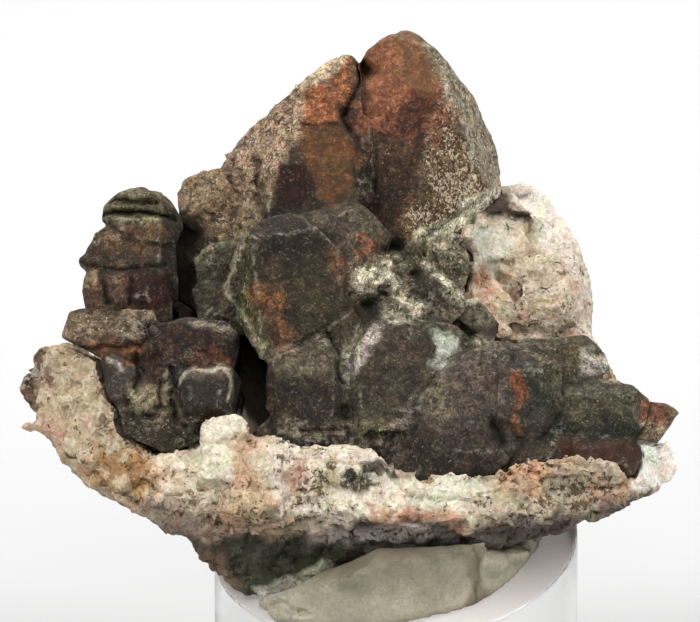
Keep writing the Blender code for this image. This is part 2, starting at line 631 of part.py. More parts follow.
def boolean(target, other, operation):
    """An EXACT Boolean with one object, or with every object of a collection."""
    made = target.modifiers.new(operation.lower(), "BOOLEAN")
    made.operation = operation
    made.solver = "EXACT"
    if isinstance(other, bpy.types.Collection):
        made.operand_type = "COLLECTION"
        made.collection = other
    else:
        made.object = other
    return made


def settle(target):
    """Applies the modifiers and keeps the largest body, without the loose flakes."""
    graph = bpy.context.evaluated_depsgraph_get()
    mesh = bpy.data.meshes.new_from_object(target.evaluated_get(graph))
    target.modifiers.clear()
    target.data = mesh
    bm = bmesh.new()
    bm.from_mesh(mesh)
    bmesh.ops.remove_doubles(bm, verts=bm.verts, dist=2e-7)
    bmesh.ops.dissolve_degenerate(bm, edges=bm.edges, dist=2e-7)
    left = set(bm.faces)
    bodies = []
    while left:
        body = {left.pop()}
        edge_of = list(body)
        while edge_of:
            face = edge_of.pop()
            for edge in face.edges:
                for other in edge.link_faces:
                    if other in left:
                        left.discard(other)
                        body.add(other)
                        edge_of.append(other)
        bodies.append(body)
    bodies.sort(key=lambda body: sum(face.calc_area() for face in body))
    loose = [face for body in bodies[:-1] for face in body]
    bmesh.ops.delete(bm, geom=loose, context="FACES")
    bmesh.ops.triangulate(bm, faces=bm.faces)
    bm.to_mesh(mesh)
    bm.free()


def fused(name, forms, into, skin=None):
    """One solid from overlapping blocks."""
    members = collection(name + "_blocks", helper=True)
    base = add_object(name, forms[0], into, skin)
    for number, bm in enumerate(forms[1:]):
        add_object("%s_%02d" % (name, number), bm, members)
    boolean(base, members, "UNION")
    settle(base)
    return base


def cluster(name, blocks, skin):
    """Blocks fused into one solid, and a cutter of the same form grown by the gap."""
    forms = [block(**form) for form in blocks.values()]
    wide = [grown(bm, GAP / MM) for bm in forms]
    solid = fused(name, forms, OBJECT, skin)
    around = fused(name + "_clearance", wide, CUTTERS)
    return solid, around


# Scene ---------------------------------------------------------------------------------

for old in list(bpy.data.objects):
    bpy.data.objects.remove(old, do_unlink=True)

OBJECT = collection("hydrozincite_specimen")
CUTTERS = collection("cutters", helper=True)

CRYSTAL_SKIN = material("zoned_brown_crystal", (0.16, 0.10, 0.07), 0.62)
TOWER_SKIN = material("dark_brown_crystal", (0.12, 0.08, 0.06), 0.6)
LEFT_SKIN = material("dark_drusy_crystal", (0.11, 0.08, 0.06), 0.58)
MATRIX_SKIN = material("pale_matrix", (0.72, 0.62, 0.50), 0.75)
PUTTY_SKIN = material("mounting_putty", (0.47, 0.45, 0.35), 0.8)
ACRYLIC_SKIN = material(
    "clear_acrylic", (0.98, 0.98, 0.98), 0.04, **{"Transmission Weight": 1.0, "IOR": 1.49}
)

crystals, crystals_around = cluster("crystal_cluster", PEAK_CRYSTALS, CRYSTAL_SKIN)

tower, tower_around = cluster("tower_crystals", TOWER_CRYSTALS, TOWER_SKIN)
boolean(tower, crystals_around, "DIFFERENCE")
settle(tower)

left, left_around = cluster("left_crystals", LEFT_CRYSTALS, LEFT_SKIN)
boolean(left, crystals_around, "DIFFERENCE")
boolean(left, tower_around, "DIFFERENCE")
settle(left)

# The matrix takes in every crystal's root, with the gap round it, and stops clear of the
# slanted top of the stand.
matrix, matrix_around = cluster("matrix", MATRIX_BLOCKS, MATRIX_SKIN)
for around in (crystals_around, tower_around, left_around):
    boolean(matrix, around, "DIFFERENCE")

# Stand: a clear round, its top cut on a slant
seat_normal = Matrix.Rotation(STAND_SLANT, 3, "X") @ Vector((0.0, 0.0, 1.0))
seat_normal = Matrix.Rotation(-STAND_ROLL, 3, "Y") @ seat_normal
seat_point = Vector((0.0, 0.0, STAND_HEIGHT))
bm = bmesh.new()
bmesh.ops.create_cone(
    bm, cap_ends=True, segments=96, radius1=STAND_DIAMETER / 2, radius2=STAND_DIAMETER / 2,
    depth=0.08,
)
bmesh.ops.translate(bm, verts=bm.verts, vec=(0, 0, 0.04))
cleave(bm, seat_point, seat_normal)
stand = add_object("acrylic_stand", bm, OBJECT, ACRYLIC_SKIN, Matrix.Identity(4))
rim = stand.modifiers.new("polished rims", "BEVEL")
rim.width = STAND_EDGE
rim.segments = 2
rim.limit_method = "ANGLE"
rim.angle_limit = math.radians(40)
stand.data.shade_smooth()
stand.data.set_sharp_from_angle(angle=math.radians(30))

# Nothing of the specimen comes lower than this, over the stand
tilt = seat_normal.to_track_quat("Z", "Y").to_matrix().to_4x4()
above = bmesh.new()
bmesh.ops.create_cone(
    above, cap_ends=True, segments=64, radius1=STAND_DIAMETER / 2 + 0.002,
    radius2=STAND_DIAMETER / 2 + 0.002, depth=0.08,
)
bmesh.ops.translate(above, verts=above.verts, vec=(0, 0, 0.04))
cleave(above, seat_point + seat_normal * 0.0014, seat_normal)
keep_out = add_object("seat_cutter", above, CUTTERS, None, Matrix.Identity(4))
boolean(matrix, keep_out, "DIFFERENCE")
settle(matrix)

# Putty: a round pad on the slanted top, pressed up against the specimen
bm = bmesh.new()
bmesh.ops.create_cone(
    bm, cap_ends=True, segments=40, radius1=PUTTY_RADIUS, radius2=PUTTY_RADIUS * 0.93,
    depth=PUTTY_HEIGHT,
)
for vert in bm.verts:
    turn = math.atan2(vert.co.y, vert.co.x)
    swell = 1 + 0.02 * math.sin(3 * turn + 1.0) + 0.012 * math.sin(7 * turn)
    vert.co.x = vert.co.x * swell + PUTTY_SHIFT[0]
    vert.co.y = vert.co.y * swell + PUTTY_SHIFT[1]
bmesh.ops.translate(bm, verts=bm.verts, vec=(0, 0, PUTTY_HEIGHT / 2))
bm.transform(Matrix.Translation(seat_point + seat_normal * GAP) @ tilt)
putty = add_object("putty", bm, OBJECT, PUTTY_SKIN, Matrix.Identity(4))

# What stops the putty in front: its upper edge follows the specimen's underside
lids = [
    ((-17.5, -17.0, 0.6), (0.62, -1.0, 0.45)),
    ((2.0, -19.0, 9.2), (0.02, -1.0, 0.55)),
]
for number, (point, (run, _, rise)) in enumerate(lids):
    lid = bmesh.new()
    bmesh.ops.create_cube(lid, size=1.0)
    lid.transform(Matrix.Diagonal((160.0, 160.0, 60.0, 1.0)) @ Matrix.Translation((0, 0, 0.5)))
    lie = Vector((-run, -rise, 1.0)).normalized().to_track_quat("Z", "Y").to_matrix().to_4x4()
    lid.transform(Matrix.Translation(point) @ lie)
    boolean(putty, add_object("lid_%d" % number, lid, CUTTERS), "DIFFERENCE")
boolean(putty, matrix_around, "DIFFERENCE")
for around in (crystals_around, tower_around, left_around):
    boolean(putty, around, "DIFFERENCE")
settle(putty)
putty.data.shade_smooth()
putty.data.set_sharp_from_angle(angle=math.radians(35))
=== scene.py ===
"""Hydrozincite specimen on putty and a clear slant-cut round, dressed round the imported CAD."""

import json
import math

import bmesh
import bpy
import numpy as np
from mathutils import Matrix, Vector
from mathutils.bvhtree import BVHTree
from mathutils.kdtree import KDTree

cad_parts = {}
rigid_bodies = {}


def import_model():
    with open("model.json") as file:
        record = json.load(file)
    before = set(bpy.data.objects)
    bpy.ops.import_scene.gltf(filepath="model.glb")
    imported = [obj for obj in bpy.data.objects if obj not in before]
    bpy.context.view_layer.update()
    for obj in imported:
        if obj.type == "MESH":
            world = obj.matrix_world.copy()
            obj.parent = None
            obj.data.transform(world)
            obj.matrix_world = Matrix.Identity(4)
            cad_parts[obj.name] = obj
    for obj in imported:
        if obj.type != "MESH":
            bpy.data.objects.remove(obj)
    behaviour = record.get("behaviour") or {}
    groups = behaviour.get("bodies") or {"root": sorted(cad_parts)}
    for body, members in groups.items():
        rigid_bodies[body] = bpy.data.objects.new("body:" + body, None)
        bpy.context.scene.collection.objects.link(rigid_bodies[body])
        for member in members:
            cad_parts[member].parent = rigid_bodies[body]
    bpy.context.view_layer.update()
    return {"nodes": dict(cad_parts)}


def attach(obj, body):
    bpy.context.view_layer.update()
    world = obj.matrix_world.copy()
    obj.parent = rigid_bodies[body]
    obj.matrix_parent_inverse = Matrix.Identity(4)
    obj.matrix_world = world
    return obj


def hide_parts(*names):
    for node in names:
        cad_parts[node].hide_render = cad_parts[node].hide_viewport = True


for old in list(bpy.data.objects):
    bpy.data.objects.remove(old, do_unlink=True)

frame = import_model()

# The specimen's own frame: millimetres across (A), away from the shown side (D) and up (U).
MM = 0.001
LEAN = math.radians(12.0)
SEAT_UP, STAND_HEIGHT, STAND_RADIUS = 0.0083, 0.030, 0.0254
turn = Matrix.Rotation(-LEAN, 4, "X")
seat = turn @ Vector((0, 0, SEAT_UP))
seat = turn @ Vector((0, -seat.y / math.cos(LEAN), SEAT_UP))
TO_WORLD = Matrix.Translation((0, 0, STAND_HEIGHT - seat.z)) @ turn @ Matrix.Scale(MM, 4)
TO_WORLD_ROWS = np.array(TO_WORLD)
FROM_WORLD_ROWS = np.array(TO_WORLD.inverted())
VIEW = Vector(TO_WORLD_ROWS[:3, 1]).normalized()

# How fine the dense meshes are, and the most triangles that the two large ones keep.
CLUSTER_VOXEL, TOWER_VOXEL, LEFT_VOXEL, MATRIX_VOXEL, PUTTY_VOXEL = 0.34, 0.30, 0.29, 0.43, 0.42
MOST_TRIANGLES = 194000
SHARP_EDGE, CREASE = math.radians(17), math.radians(38)
# What each vertex carries besides its colour, in the order that the materials read it.
MASKS = ("speck", "edge", "dark", "gloss", "rust", "bare")
PAINT_SEED = 31
LUMP_CORNERS, CHIP_CORNERS = 36, 9


def to_world(p):
    return p @ TO_WORLD_ROWS[:3, :3].T + TO_WORLD_ROWS[:3, 3]


def from_world(p):
    return p @ FROM_WORLD_ROWS[:3, :3].T + FROM_WORLD_ROWS[:3, 3]


# ---- Noise, in millimetres ----


def hashed(i, j, k, seed):
    n = (
        i.astype(np.uint32) * np.uint32(73856093)
        ^ j.astype(np.uint32) * np.uint32(19349663)
        ^ k.astype(np.uint32) * np.uint32(83492791)
        ^ np.uint32((seed * 2654435761) & 0xFFFFFFFF)
    )
    n = (n ^ (n >> np.uint32(13))) * np.uint32(1540483477)
    n = (n ^ (n >> np.uint32(15))) * np.uint32(2246822519)
    return ((n ^ (n >> np.uint32(16))) / 4294967296.0).astype(np.float64)


def noise(p, size, seed=0):
    """Smooth value noise from -1 to 1."""
    q = p / size + 1000.0
    i = np.floor(q).astype(np.int64)
    f = q - i
    w = f * f * (3 - 2 * f)
    out = np.zeros(len(p))
    for corner in np.ndindex(2, 2, 2):
        part = hashed(*(i + corner).T, seed)
        for axis, step in enumerate(corner):
            part = part * (w[:, axis] if step else 1 - w[:, axis])
        out += part
    return out * 2 - 1


def fbm(p, size, octaves=3, seed=0):
    """Noise with finer noise on it, each layer half as strong and half as large."""
    total, gain = 0.0, 1.0
    for octave in range(octaves):
        total = total + gain * noise(p, size / 2**octave, seed + 17 * octave)
        gain *= 0.5
    return total / (2 - 2 ** (1 - octaves))


def columns(kind, p, size, seeds, *octaves):
    """Noises side by side, to bend coordinates with."""
    return np.column_stack([kind(p, size, *octaves, seed) for seed in seeds])


def cells(p, size, seed=0):
    """Nearest and second distances to scattered seeds, one random value and one tilt."""
    q = p / size + 1000.0
    i = np.floor(q).astype(np.int64)
    first, second = np.full((2, len(p)), 9.0)
    value, tilt = np.zeros((2, len(p)))
    for corner in np.ndindex(3, 3, 3):
        c = i + corner - 1
        r = np.stack([hashed(*c.T, seed + s) for s in range(3)], 1)
        away = q - (c + 0.15 + 0.7 * r)
        dist = np.sqrt((away**2).sum(1))
        near = dist < first
        second = np.where(near, first, np.minimum(second, dist))
        value = np.where(near, r[:, 0], value)
        tilt = np.where(near, ((r * 2 - 1)[:, [1, 2, 0]] * away).sum(1), tilt)
        first = np.where(near, dist, first)
    return first, second, value, tilt


def smooth(x, low, high):
    t = np.clip((x - low) / (high - low), 0, 1)
    return t * t * (3 - 2 * t)


def bell(x, width):
    return np.exp(-((x / width) ** 2))


# ---- Shapes and places ----


def points(text):
    """The points of an outline or line across and up, from text such as "0,71 6.4,70.8"."""
    return [tuple(map(float, point.split(","))) for point in text.split()]


def segment_distance(a, u, line, closed=False):
    """Distance to a line across and up, less than nothing inside a closed one."""
    ends = line[1:] + line[:1] if closed else line[1:]
    best = np.full(len(a), 1e9)
    inside = np.zeros(len(a), bool)
    for (x0, y0), (x1, y1) in zip(line, ends):
        dx, dy = x1 - x0, y1 - y0
        t = np.clip(((a - x0) * dx + (u - y0) * dy) / (dx * dx + dy * dy + 1e-9), 0, 1)
        best = np.minimum(best, (a - x0 - t * dx) ** 2 + (u - y0 - t * dy) ** 2)
        if closed and dy:
            inside ^= ((y0 > u) != (y1 > u)) & (a < (u - y0) * dx / dy + x0)
    best = np.sqrt(best)
    return np.where(inside, -best, best)


def point_tree(places):
    tree = KDTree(len(places))
    for index, point in enumerate(places):
        tree.insert(point, index)
    tree.balance()
    return tree


def read_vectors(items, name):
    """One vector for each item of a mesh, such as its place or its normal."""
    values = np.empty(len(items) * 3, np.float32)
    items.foreach_get(name, values)
    return values.reshape(-1, 3)


def add_object(name, data):
    made = bpy.data.objects.new(name, data)
    bpy.context.scene.collection.objects.link(made)
    return made


def dress(made, node):
    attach(made, "root")
    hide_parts(node)


class Surface:
    """A dense mesh of one node, in the specimen's frame, with its colours and masks."""

    def __init__(self, node, voxel, chips, sharp=True, limit=0):
        self.node = node
        bm = bmesh.new()
        bm.from_mesh(frame["nodes"][node].data)
        bmesh.ops.remove_doubles(bm, verts=bm.verts, dist=1e-6)
        for chip in chips:
            hull = bmesh.ops.convex_hull(bm, input=[bm.verts.new(c) for c in chip])
            spare = [v for v in hull["geom_interior"] if isinstance(v, bmesh.types.BMVert)]
            bmesh.ops.delete(bm, geom=spare, context="VERTS")
        self.find_edges(bm)
        solid = BVHTree.FromBMesh(bm)
        mesh = bpy.data.meshes.new(node + "_dense")
        bm.to_mesh(mesh)
        bm.free()
        self.object = add_object(node + "_surface", mesh)
        size = voxel * MM * 1.0
        self.modify("REMESH", mode="VOXEL", voxel_size=size, adaptivity=0.0)
        if limit:
            self.thin(limit // (1))
        self.mesh = self.object.data
        self.mesh.name = node + "_surface"
        co = read_vectors(self.mesh.vertices, "co").astype(np.float64)
        if sharp:
            co = self.sharpen(co, solid, size * 0.5)
        self.p = from_world(co)
        edges = np.empty(len(self.mesh.edges) * 2, np.int32)
        self.mesh.edges.foreach_get("vertices", edges)
        self.edges = edges.reshape(-1, 2)
        self.degree = np.bincount(edges, minlength=len(co))[:, None]
        self.normals()
        self.rest, self.rest_n = self.p.copy(), self.n.copy()
        self.drift = columns(fbm, self.rest, 4.4, (201, 202), 4)

    def modify(self, kind, **values):
        """Applies one modifier."""
        modifier = self.object.modifiers.new(kind.lower(), kind)
        for name, value in values.items():
            setattr(modifier, name, value)
        graph = bpy.context.evaluated_depsgraph_get()
        made = bpy.data.meshes.new_from_object(self.object.evaluated_get(graph))
        self.object.modifiers.clear()
        self.object.vertex_groups.clear()
        self.object.data = made

    def thin(self, limit):
        """Coarser behind, where nothing is fine, so that the shown side can be finer."""
        mesh = self.object.data
        facing = read_vectors(mesh.vertex_normals, "vector") @ (TO_WORLD_ROWS[:3, 1] / MM)
        behind = smooth(facing, -0.25, 0.1)
        group = self.object.vertex_groups.new(name="behind")
        for share in (0.25, 0.5, 0.75, 1.0):
            chosen = np.flatnonzero(np.abs(behind - share) <= 0.125)
            group.add(chosen.tolist(), share, "REPLACE")
        ratio = min(1.0, limit / (2 * len(mesh.polygons)))
        self.modify("DECIMATE", vertex_group=group.name, ratio=ratio)

    def sharpen(self, co, solid, reach):
        """Sets the dense mesh back on the solid's flat faces and its crisp edges."""
        co = np.array([solid.find_nearest(Vector(c))[0] for c in co])
        tree = point_tree(self.convex)
        for index, c in enumerate(co):
            point, _, away = tree.find(c)
            if away < reach:
                co[index] = point
        return co

    def find_edges(self, bm):
        """Points along the solid's sharp edges, on ridges and in valleys."""
        self.convex, self.concave = [], []
        for edge in bm.edges:
            if len(edge.link_faces) != 2 or edge.calc_face_angle(0) < SHARP_EDGE:
                continue
            a, b = (v.co for v in edge.verts)
            if (b - a).length < 0.03 * MM:
                continue
            store = self.convex if edge.is_convex else self.concave
            steps = max(1, int((b - a).length / (0.12 * MM)))
            store.extend(a.lerp(b, s / steps) for s in range(steps + 1))

    def away_from(self, places):
        """How far each vertex was from the nearest of the places, in millimetres."""
        tree = point_tree(places)
        return np.array([tree.find(c)[2] for c in to_world(self.rest)]) / MM

    def normals(self):
        self.mesh.vertices.foreach_set("co", to_world(self.p).astype(np.float32).ravel())
        self.mesh.update()
        n = read_vectors(self.mesh.vertex_normals, "vector").astype(np.float64)
        self.n = n @ (FROM_WORLD_ROWS[:3, :3] * MM).T

    def relax(self, times, share=1.0, pull=0.5):
        """Draws each vertex towards its neighbours' average."""
        i, j = self.edges.T
        count = len(self.p)
        share = np.reshape(share, (-1, 1))
        for _ in range(times):
            sums = [np.bincount(i, q[j], count) + np.bincount(j, q[i], count) for q in self.p.T]
            self.p += (np.column_stack(sums) / self.degree - self.p) * pull * share
        self.normals()

    def push(self, amount):
        """Moves the surface out along its normals, in millimetres."""
        self.p += self.n * amount[:, None]
        self.normals()

    def grooves(self, rows, facing=0.15):
        """Cracks seen from the shown side, cut away from it: line or point, width and depth."""
        front = smooth(-self.rest_n[:, 1], facing - 0.1, facing + 0.1)
        a, u = (self.rest[:, [0, 2]] + noise(self.rest, 1.6, 5)[:, None] * 0.35).T
        for line, width, depth in rows:
            line = points(line)
            if len(line) == 1:
                away = np.hypot(a - line[0][0], u - line[0][1])
            else:
                away = segment_distance(a, u, line)
            cut = bell(away, width) * front
            self.p[:, 1] += cut * depth
            # painted shade: the crack is darkened the deeper it is cut
            self.dark = np.maximum(self.dark, cut * min(1.0, depth / 1.2))

    def region(self, outline, feather, wobble, seed=3):
        """How much each vertex lies in an outline across and up."""
        a, u = (self.rest[:, [0, 2]] + (1.2 + 2.0 * wobble) * self.drift).T
        away = segment_distance(a, u, points(outline), closed=True)
        away = away + (0.5 + 1.6 * wobble) * fbm(self.rest, 1.7, 3, seed)
        return smooth(-away, -feather - 0.25, feather + 0.25)

    def start_paint(self, colour, **masks):
        self.tint = np.tile(np.array(colour, float), (len(self.p), 1))
        for mask in MASKS:
            setattr(self, mask, np.full(len(self.p), masks.get(mask, 0.0)))

    def blend(self, colour, share):
        self.tint += (np.array(colour) - self.tint) * share[:, None]

    def paint(self, rows):
        for number, (outline, colour, strength, feather, wobble, masks) in enumerate(rows):
            share = self.region(outline, feather, wobble, PAINT_SEED + number) * strength
            if colour is not None:
                self.blend(colour, share)
            for mask, value in masks.items():
                values = getattr(self, mask)
                values += (value - values) * share

    def trace(self, rows):
        """Thin seams and ridges of colour along lines across and up."""
        front = smooth(-self.rest_n[:, 1], -0.2, 0.15)
        wobble = self.rest + 0.8 * columns(fbm, self.rest, 2.2, (41, 42, 43), 3)
        broken = smooth(fbm(self.rest, 1.3, 3, 47), -0.45, 0.2)
        for line, width, colour, strength, speck in rows:
            away = segment_distance(wobble[:, 0], wobble[:, 2], points(line))
            share = smooth(-away, -width * 1.6, -width * 0.3) * strength * front
            share = share * (1 if width < 0.5 else broken)
            self.blend(colour, share)
            self.speck += (speck - self.speck) * share

    def store(self, skin, slot):
        """Writes the masks as attributes and dresses the piece."""
        self.normals()
        masks = [getattr(self, mask) for mask in MASKS]
        layers = {"tint": self.tint.T, "mask": masks[:3], "more": masks[3:]}
        for name, values in layers.items():
            values = np.column_stack([*values, np.ones(len(self.p))])
            layer = self.mesh.attributes.new(name, "FLOAT_COLOR", "POINT")
            layer.data.foreach_set("color", np.clip(values, 0, 1).astype(np.float32).ravel())
        self.mesh.materials.clear()
        self.mesh.materials.append(skin)
        self.mesh.shade_smooth()
        self.mesh.set_sharp_from_angle(angle=CREASE)
        dress(self.object, self.node)
        print(self.node, "triangles", sum(len(f.vertices) - 2 for f in self.mesh.polygons))


def chips_on(node, rows):
    """Angular chips on a node's shown side: outline, count, sizes, seed, share sunk in."""
    mesh = frame["nodes"][node].data
    tree = BVHTree.FromPolygons([v.co for v in mesh.vertices], [f.vertices for f in mesh.polygons])
    made = []
    for outline, count, sizes, seed, sink in rows:
        rng = np.random.default_rng(seed)
        outline = points(outline)
        low, high = np.min(outline, 0), np.max(outline, 0)
        wanted = len(made) + count
        for _ in range(count * 12):
            if len(made) == wanted:
                break
            a, u = low + (high - low) * rng.random(2)
            if segment_distance(np.array([a]), np.array([u]), outline, closed=True)[0] > 0:
                continue
            hit, normal, _, _ = tree.ray_cast(TO_WORLD @ Vector((a, -60, u)), VIEW)
            if hit is None:
                continue
            size = rng.uniform(*sizes) * 0.5 * MM
            middle = hit - normal * size * sink
            corners = rng.normal(size=(CHIP_CORNERS, 3))
            corners /= np.linalg.norm(corners, axis=1)[:, None]
            corners *= size * rng.uniform(0.75, 1.2, (CHIP_CORNERS, 1)) * rng.uniform(0.75, 1.25, (1, 3))
            made.append([middle + Vector(c) for c in corners])
    return made


def lumps(rows):
    """Rounded lumps: their middles and half sizes (across, deep, tall), and a seed."""
    made = []
    for a, d, u, across, deep, tall, seed in rows:
        corners = np.random.default_rng(seed).normal(size=(LUMP_CORNERS, 3))
        corners *= (1.0 / np.linalg.norm(corners, axis=1))[:, None] * (across, deep, tall)
        made.append([TO_WORLD @ Vector(c) for c in corners + (a, d, u)])
    return made


def spot(outline, colour, strength=0.9, feather=0.5, wobble=0.4, **masks):
    """A patch of colour, with how strong, soft and ragged it is and what its masks go to."""
    return outline, colour, strength, feather, wobble, masks


# ---- Materials ----


class Nodes:
    """A short way to write a node tree."""

    def __init__(self, name):
        self.material = bpy.data.materials.new(name)
        self.material.use_nodes = True
        self.tree = self.material.node_tree
        self.shader = self.tree.nodes["Principled BSDF"]
        self.place = self.add("ShaderNodeTexCoord").outputs["Object"]

    def feed(self, node, values):
        """Links sockets to a node's inputs and sets plain values on them."""
        for name, value in values.items():
            if isinstance(value, bpy.types.NodeSocket):
                self.tree.links.new(value, node.inputs[name])
            else:
                node.inputs[name].default_value = value

    def add(self, kind, inputs=None, **values):
        made = self.tree.nodes.new(kind)
        for name, value in values.items():
            setattr(made, name, value)
        self.feed(made, inputs or {})
        return made

    def warp(self, size, amount):
        """Bends the coordinates, so that nothing laid on them is round or straight."""
        noise = {"Vector": self.place, "Scale": 1000.0 / size, "Detail": 2.0}
        bend = self.add("ShaderNodeTexNoise", noise).outputs["Color"]
        bend = self.vectors("SUBTRACT", {0: bend, 1: (0.5, 0.5, 0.5)})
        self.place = self.vectors("ADD", {0: self.place, 1: self.scaled(bend, amount)})

    def noise(self, size, detail=3.0, rough=0.55, distortion=0.0):
        """Noise with features about this many millimetres across, 0 to 1."""
        values = {"Scale": 1000.0 / size, "Detail": detail, "Roughness": rough, "Distortion": distortion}
        return self.add("ShaderNodeTexNoise", {"Vector": self.place, **values}).outputs["Fac"]

    def vectors(self, operation, values):
        return self.add("ShaderNodeVectorMath", values, operation=operation).outputs[0]

    def math(self, operation, *values, clamp=False):
        values = dict(enumerate(values))
        return self.add("ShaderNodeMath", values, operation=operation, use_clamp=clamp).outputs[0]

    def times(self, first, *others):
        for value in others:
            first = self.math("MULTIPLY", first, value)
        return first

    def plus(self, first, *others):
        for value in others:
            first = self.math("ADD", first, value)
        return first

    def less(self, a, b):
        return self.math("SUBTRACT", a, b)

    def span(self, value, low, high, out_low=0.0, out_high=1.0):
        """Takes low to high smoothly to the two values that come out."""
        values = {"Value": value, "From Min": low, "From Max": high}
        values |= {"To Min": out_low, "To Max": out_high}
        return self.add("ShaderNodeMapRange", values, interpolation_type="SMOOTHSTEP").outputs["Result"]

    def mix(self, factor, a, b, blend="MIX"):
        a, b = ((*c, 1.0) if isinstance(c, tuple) else c for c in (a, b))
        values = {0: factor, 6: a, 7: b}
        return self.add("ShaderNodeMix", values, data_type="RGBA", blend_type=blend).outputs[2]

    def scaled(self, colour, value):
        """A colour times a number."""
        return self.vectors("SCALE", {0: colour, "Scale": value})

    def painted(self):
        """The surface's own colour, and its masks in the order of MASKS."""
        names = ("tint", "mask", "more")
        tint, *layers = (self.add("ShaderNodeAttribute", attribute_name=name) for name in names)
        split = [self.add("ShaderNodeSeparateColor", {"Color": a.outputs["Color"]}) for a in layers]
        return tint.outputs["Color"], *(node.outputs[i] for node in split for i in range(3))

    def finish(self, colour, rough, specular, height, strength, depth, **others):
        """Sets the shader: colour, roughness, gloss and the bump's height, strength and depth."""
        bump = self.add("ShaderNodeBump", {"Height": height, "Strength": strength, "Distance": depth})
        values = {"Base Color": colour, "Roughness": rough, "Specular IOR Level": specular}
        self.feed(self.shader, {**values, "Normal": bump.outputs["Normal"]})
        self.feed(self.shader, {name.replace("_", " "): value for name, value in others.items()})
        return self.material


# the first two are painted shade, for cracks, valleys and recesses; the last is for pits
SHADE_BLACK, MATRIX_SHADE_BLACK, PIT = (0.007, 0.005, 0.003), (0.006, 0.005, 0.003), (0.018, 0.012, 0.007)
RUST_LIGHT, RUST_DEEP = (0.21, 0.084, 0.036), (0.1, 0.038, 0.018)
GRAIN, DUST_AND_GLINT, WORN_EDGE_AND_HIGHLIGHT = (0.71, 0.6, 0.44), (0.6, 0.52, 0.42), (0.36, 0.33, 0.26)
PEACH, OCHRE = (0.56, 0.27, 0.16), (0.5, 0.29, 0.12)
SUGAR_DIM, SUGAR = (0.8, 0.72, 0.57), (0.88, 0.83, 0.71)
BROWN_GRAIN, OLIVE_GRAIN = (0.1, 0.065, 0.035), (0.26, 0.24, 0.13)


def crystal_skin():
    n = Nodes("drusy_crystal")
    tint, speck, edge, dark, gloss, rust, bare = n.painted()
    n.warp(1.5, 0.0012)
    broad = n.noise(3.4, 4.0, 0.62)
    mottle = n.noise(1.3, 4.0, 0.66, 0.5)
    grit = n.noise(0.52, 3.0, 0.66)
    fine = n.noise(0.22, 2.0, 0.6)
    hue = n.noise(2.3, 4.0, 0.62)
    fleck = n.noise(0.36, 3.0, 0.68)
    value = n.times(
        n.span(broad, 0.3, 0.7, 0.74, 1.28), n.span(mottle, 0.34, 0.66, 0.5, 1.6),
        n.span(grit, 0.3, 0.7, 0.56, 1.46), n.span(fine, 0.28, 0.72, 0.66, 1.34),
        n.span(fleck, 0.3, 0.5, 0.6, 1.05),
    )
    calm = n.span(bare, 0.0, 1.0, 1.0, 0.45)
    value = n.plus(1.0, n.times(n.less(value, 1.0), calm))
    colour = n.scaled(tint, value)
    # olive in places, warm brown in others
    colour = n.mix(n.span(hue, 0.5, 0.66, 0.0, 0.8), colour, (0.86, 1.0, 0.78), "MULTIPLY")
    colour = n.mix(n.span(hue, 0.48, 0.34, 0.0, 0.8), colour, (1.08, 0.92, 0.78), "MULTIPLY")
    # rust soaked into patches and along the grain
    rusty = n.times(rust, n.span(mottle, 0.38, 0.6))
    deep = n.scaled(n.mix(n.span(hue, 0.4, 0.6), RUST_LIGHT, RUST_DEEP), value)
    colour = n.mix(rusty, colour, deep)
    # open pits between the grains
    pits = n.span(n.noise(0.8, 3.0, 0.7, 0.5), 0.47, 0.37)
    pits = n.math("MULTIPLY", pits, n.plus(0.3, n.times(speck, 1.1)), clamp=True)
    colour = n.mix(n.times(pits, 0.85), colour, PIT)
    # pale grains of the druse, in clumps
    clumps = n.span(n.noise(1.9, 4.0, 0.64), 0.34, 0.66, 0.08, -0.07)
    level = n.plus(n.less(0.75, n.times(speck, 0.37)), clumps)
    grain = n.span(n.less(n.noise(0.42, 3.0, 0.6), level), -0.03, 0.06)
    light = n.mix(n.plus(0.25, n.times(speck, 0.6)), n.scaled(tint, 2.4), GRAIN)
    light = n.scaled(light, n.span(fine, 0.3, 0.7, 0.5, 1.25))
    colour = n.mix(n.times(grain, 0.9), colour, light)
    # fine pale flecks, partly dust and partly painted glints, and pale edges, partly wear and partly painted
    # highlight
    dust_and_glints = n.times(n.span(fleck, 0.56, 0.66), n.span(mottle, 0.4, 0.58, 0.25, 1.0), calm)
    colour = n.mix(n.times(dust_and_glints, 0.55), colour, n.scaled(n.mix(0.11, tint, DUST_AND_GLINT), 2.2))
    rim = n.times(edge, n.span(n.noise(0.8, 4.0, 0.78), 0.46, 0.62))
    colour = n.mix(n.times(rim, 0.5), colour, WORN_EDGE_AND_HIGHLIGHT)
    # painted shade: near black in cracks, valleys and recesses
    colour = n.mix(n.times(dark, 0.95), colour, SHADE_BLACK)
    rough = n.less(n.span(grit, 0.2, 0.8, 0.54, 0.88), n.times(gloss, 0.36))
    height = n.plus(n.times(grit, 0.6), n.times(fleck, 0.4), n.times(mottle, 0.8))
    height = n.plus(height, n.times(grain, n.times(speck, 0.6)))
    height = n.times(n.less(height, n.times(pits, 0.5)), calm)
    return n.finish(colour, n.math("MAXIMUM", rough, dark), 0.22, height, 0.85, 0.00036)


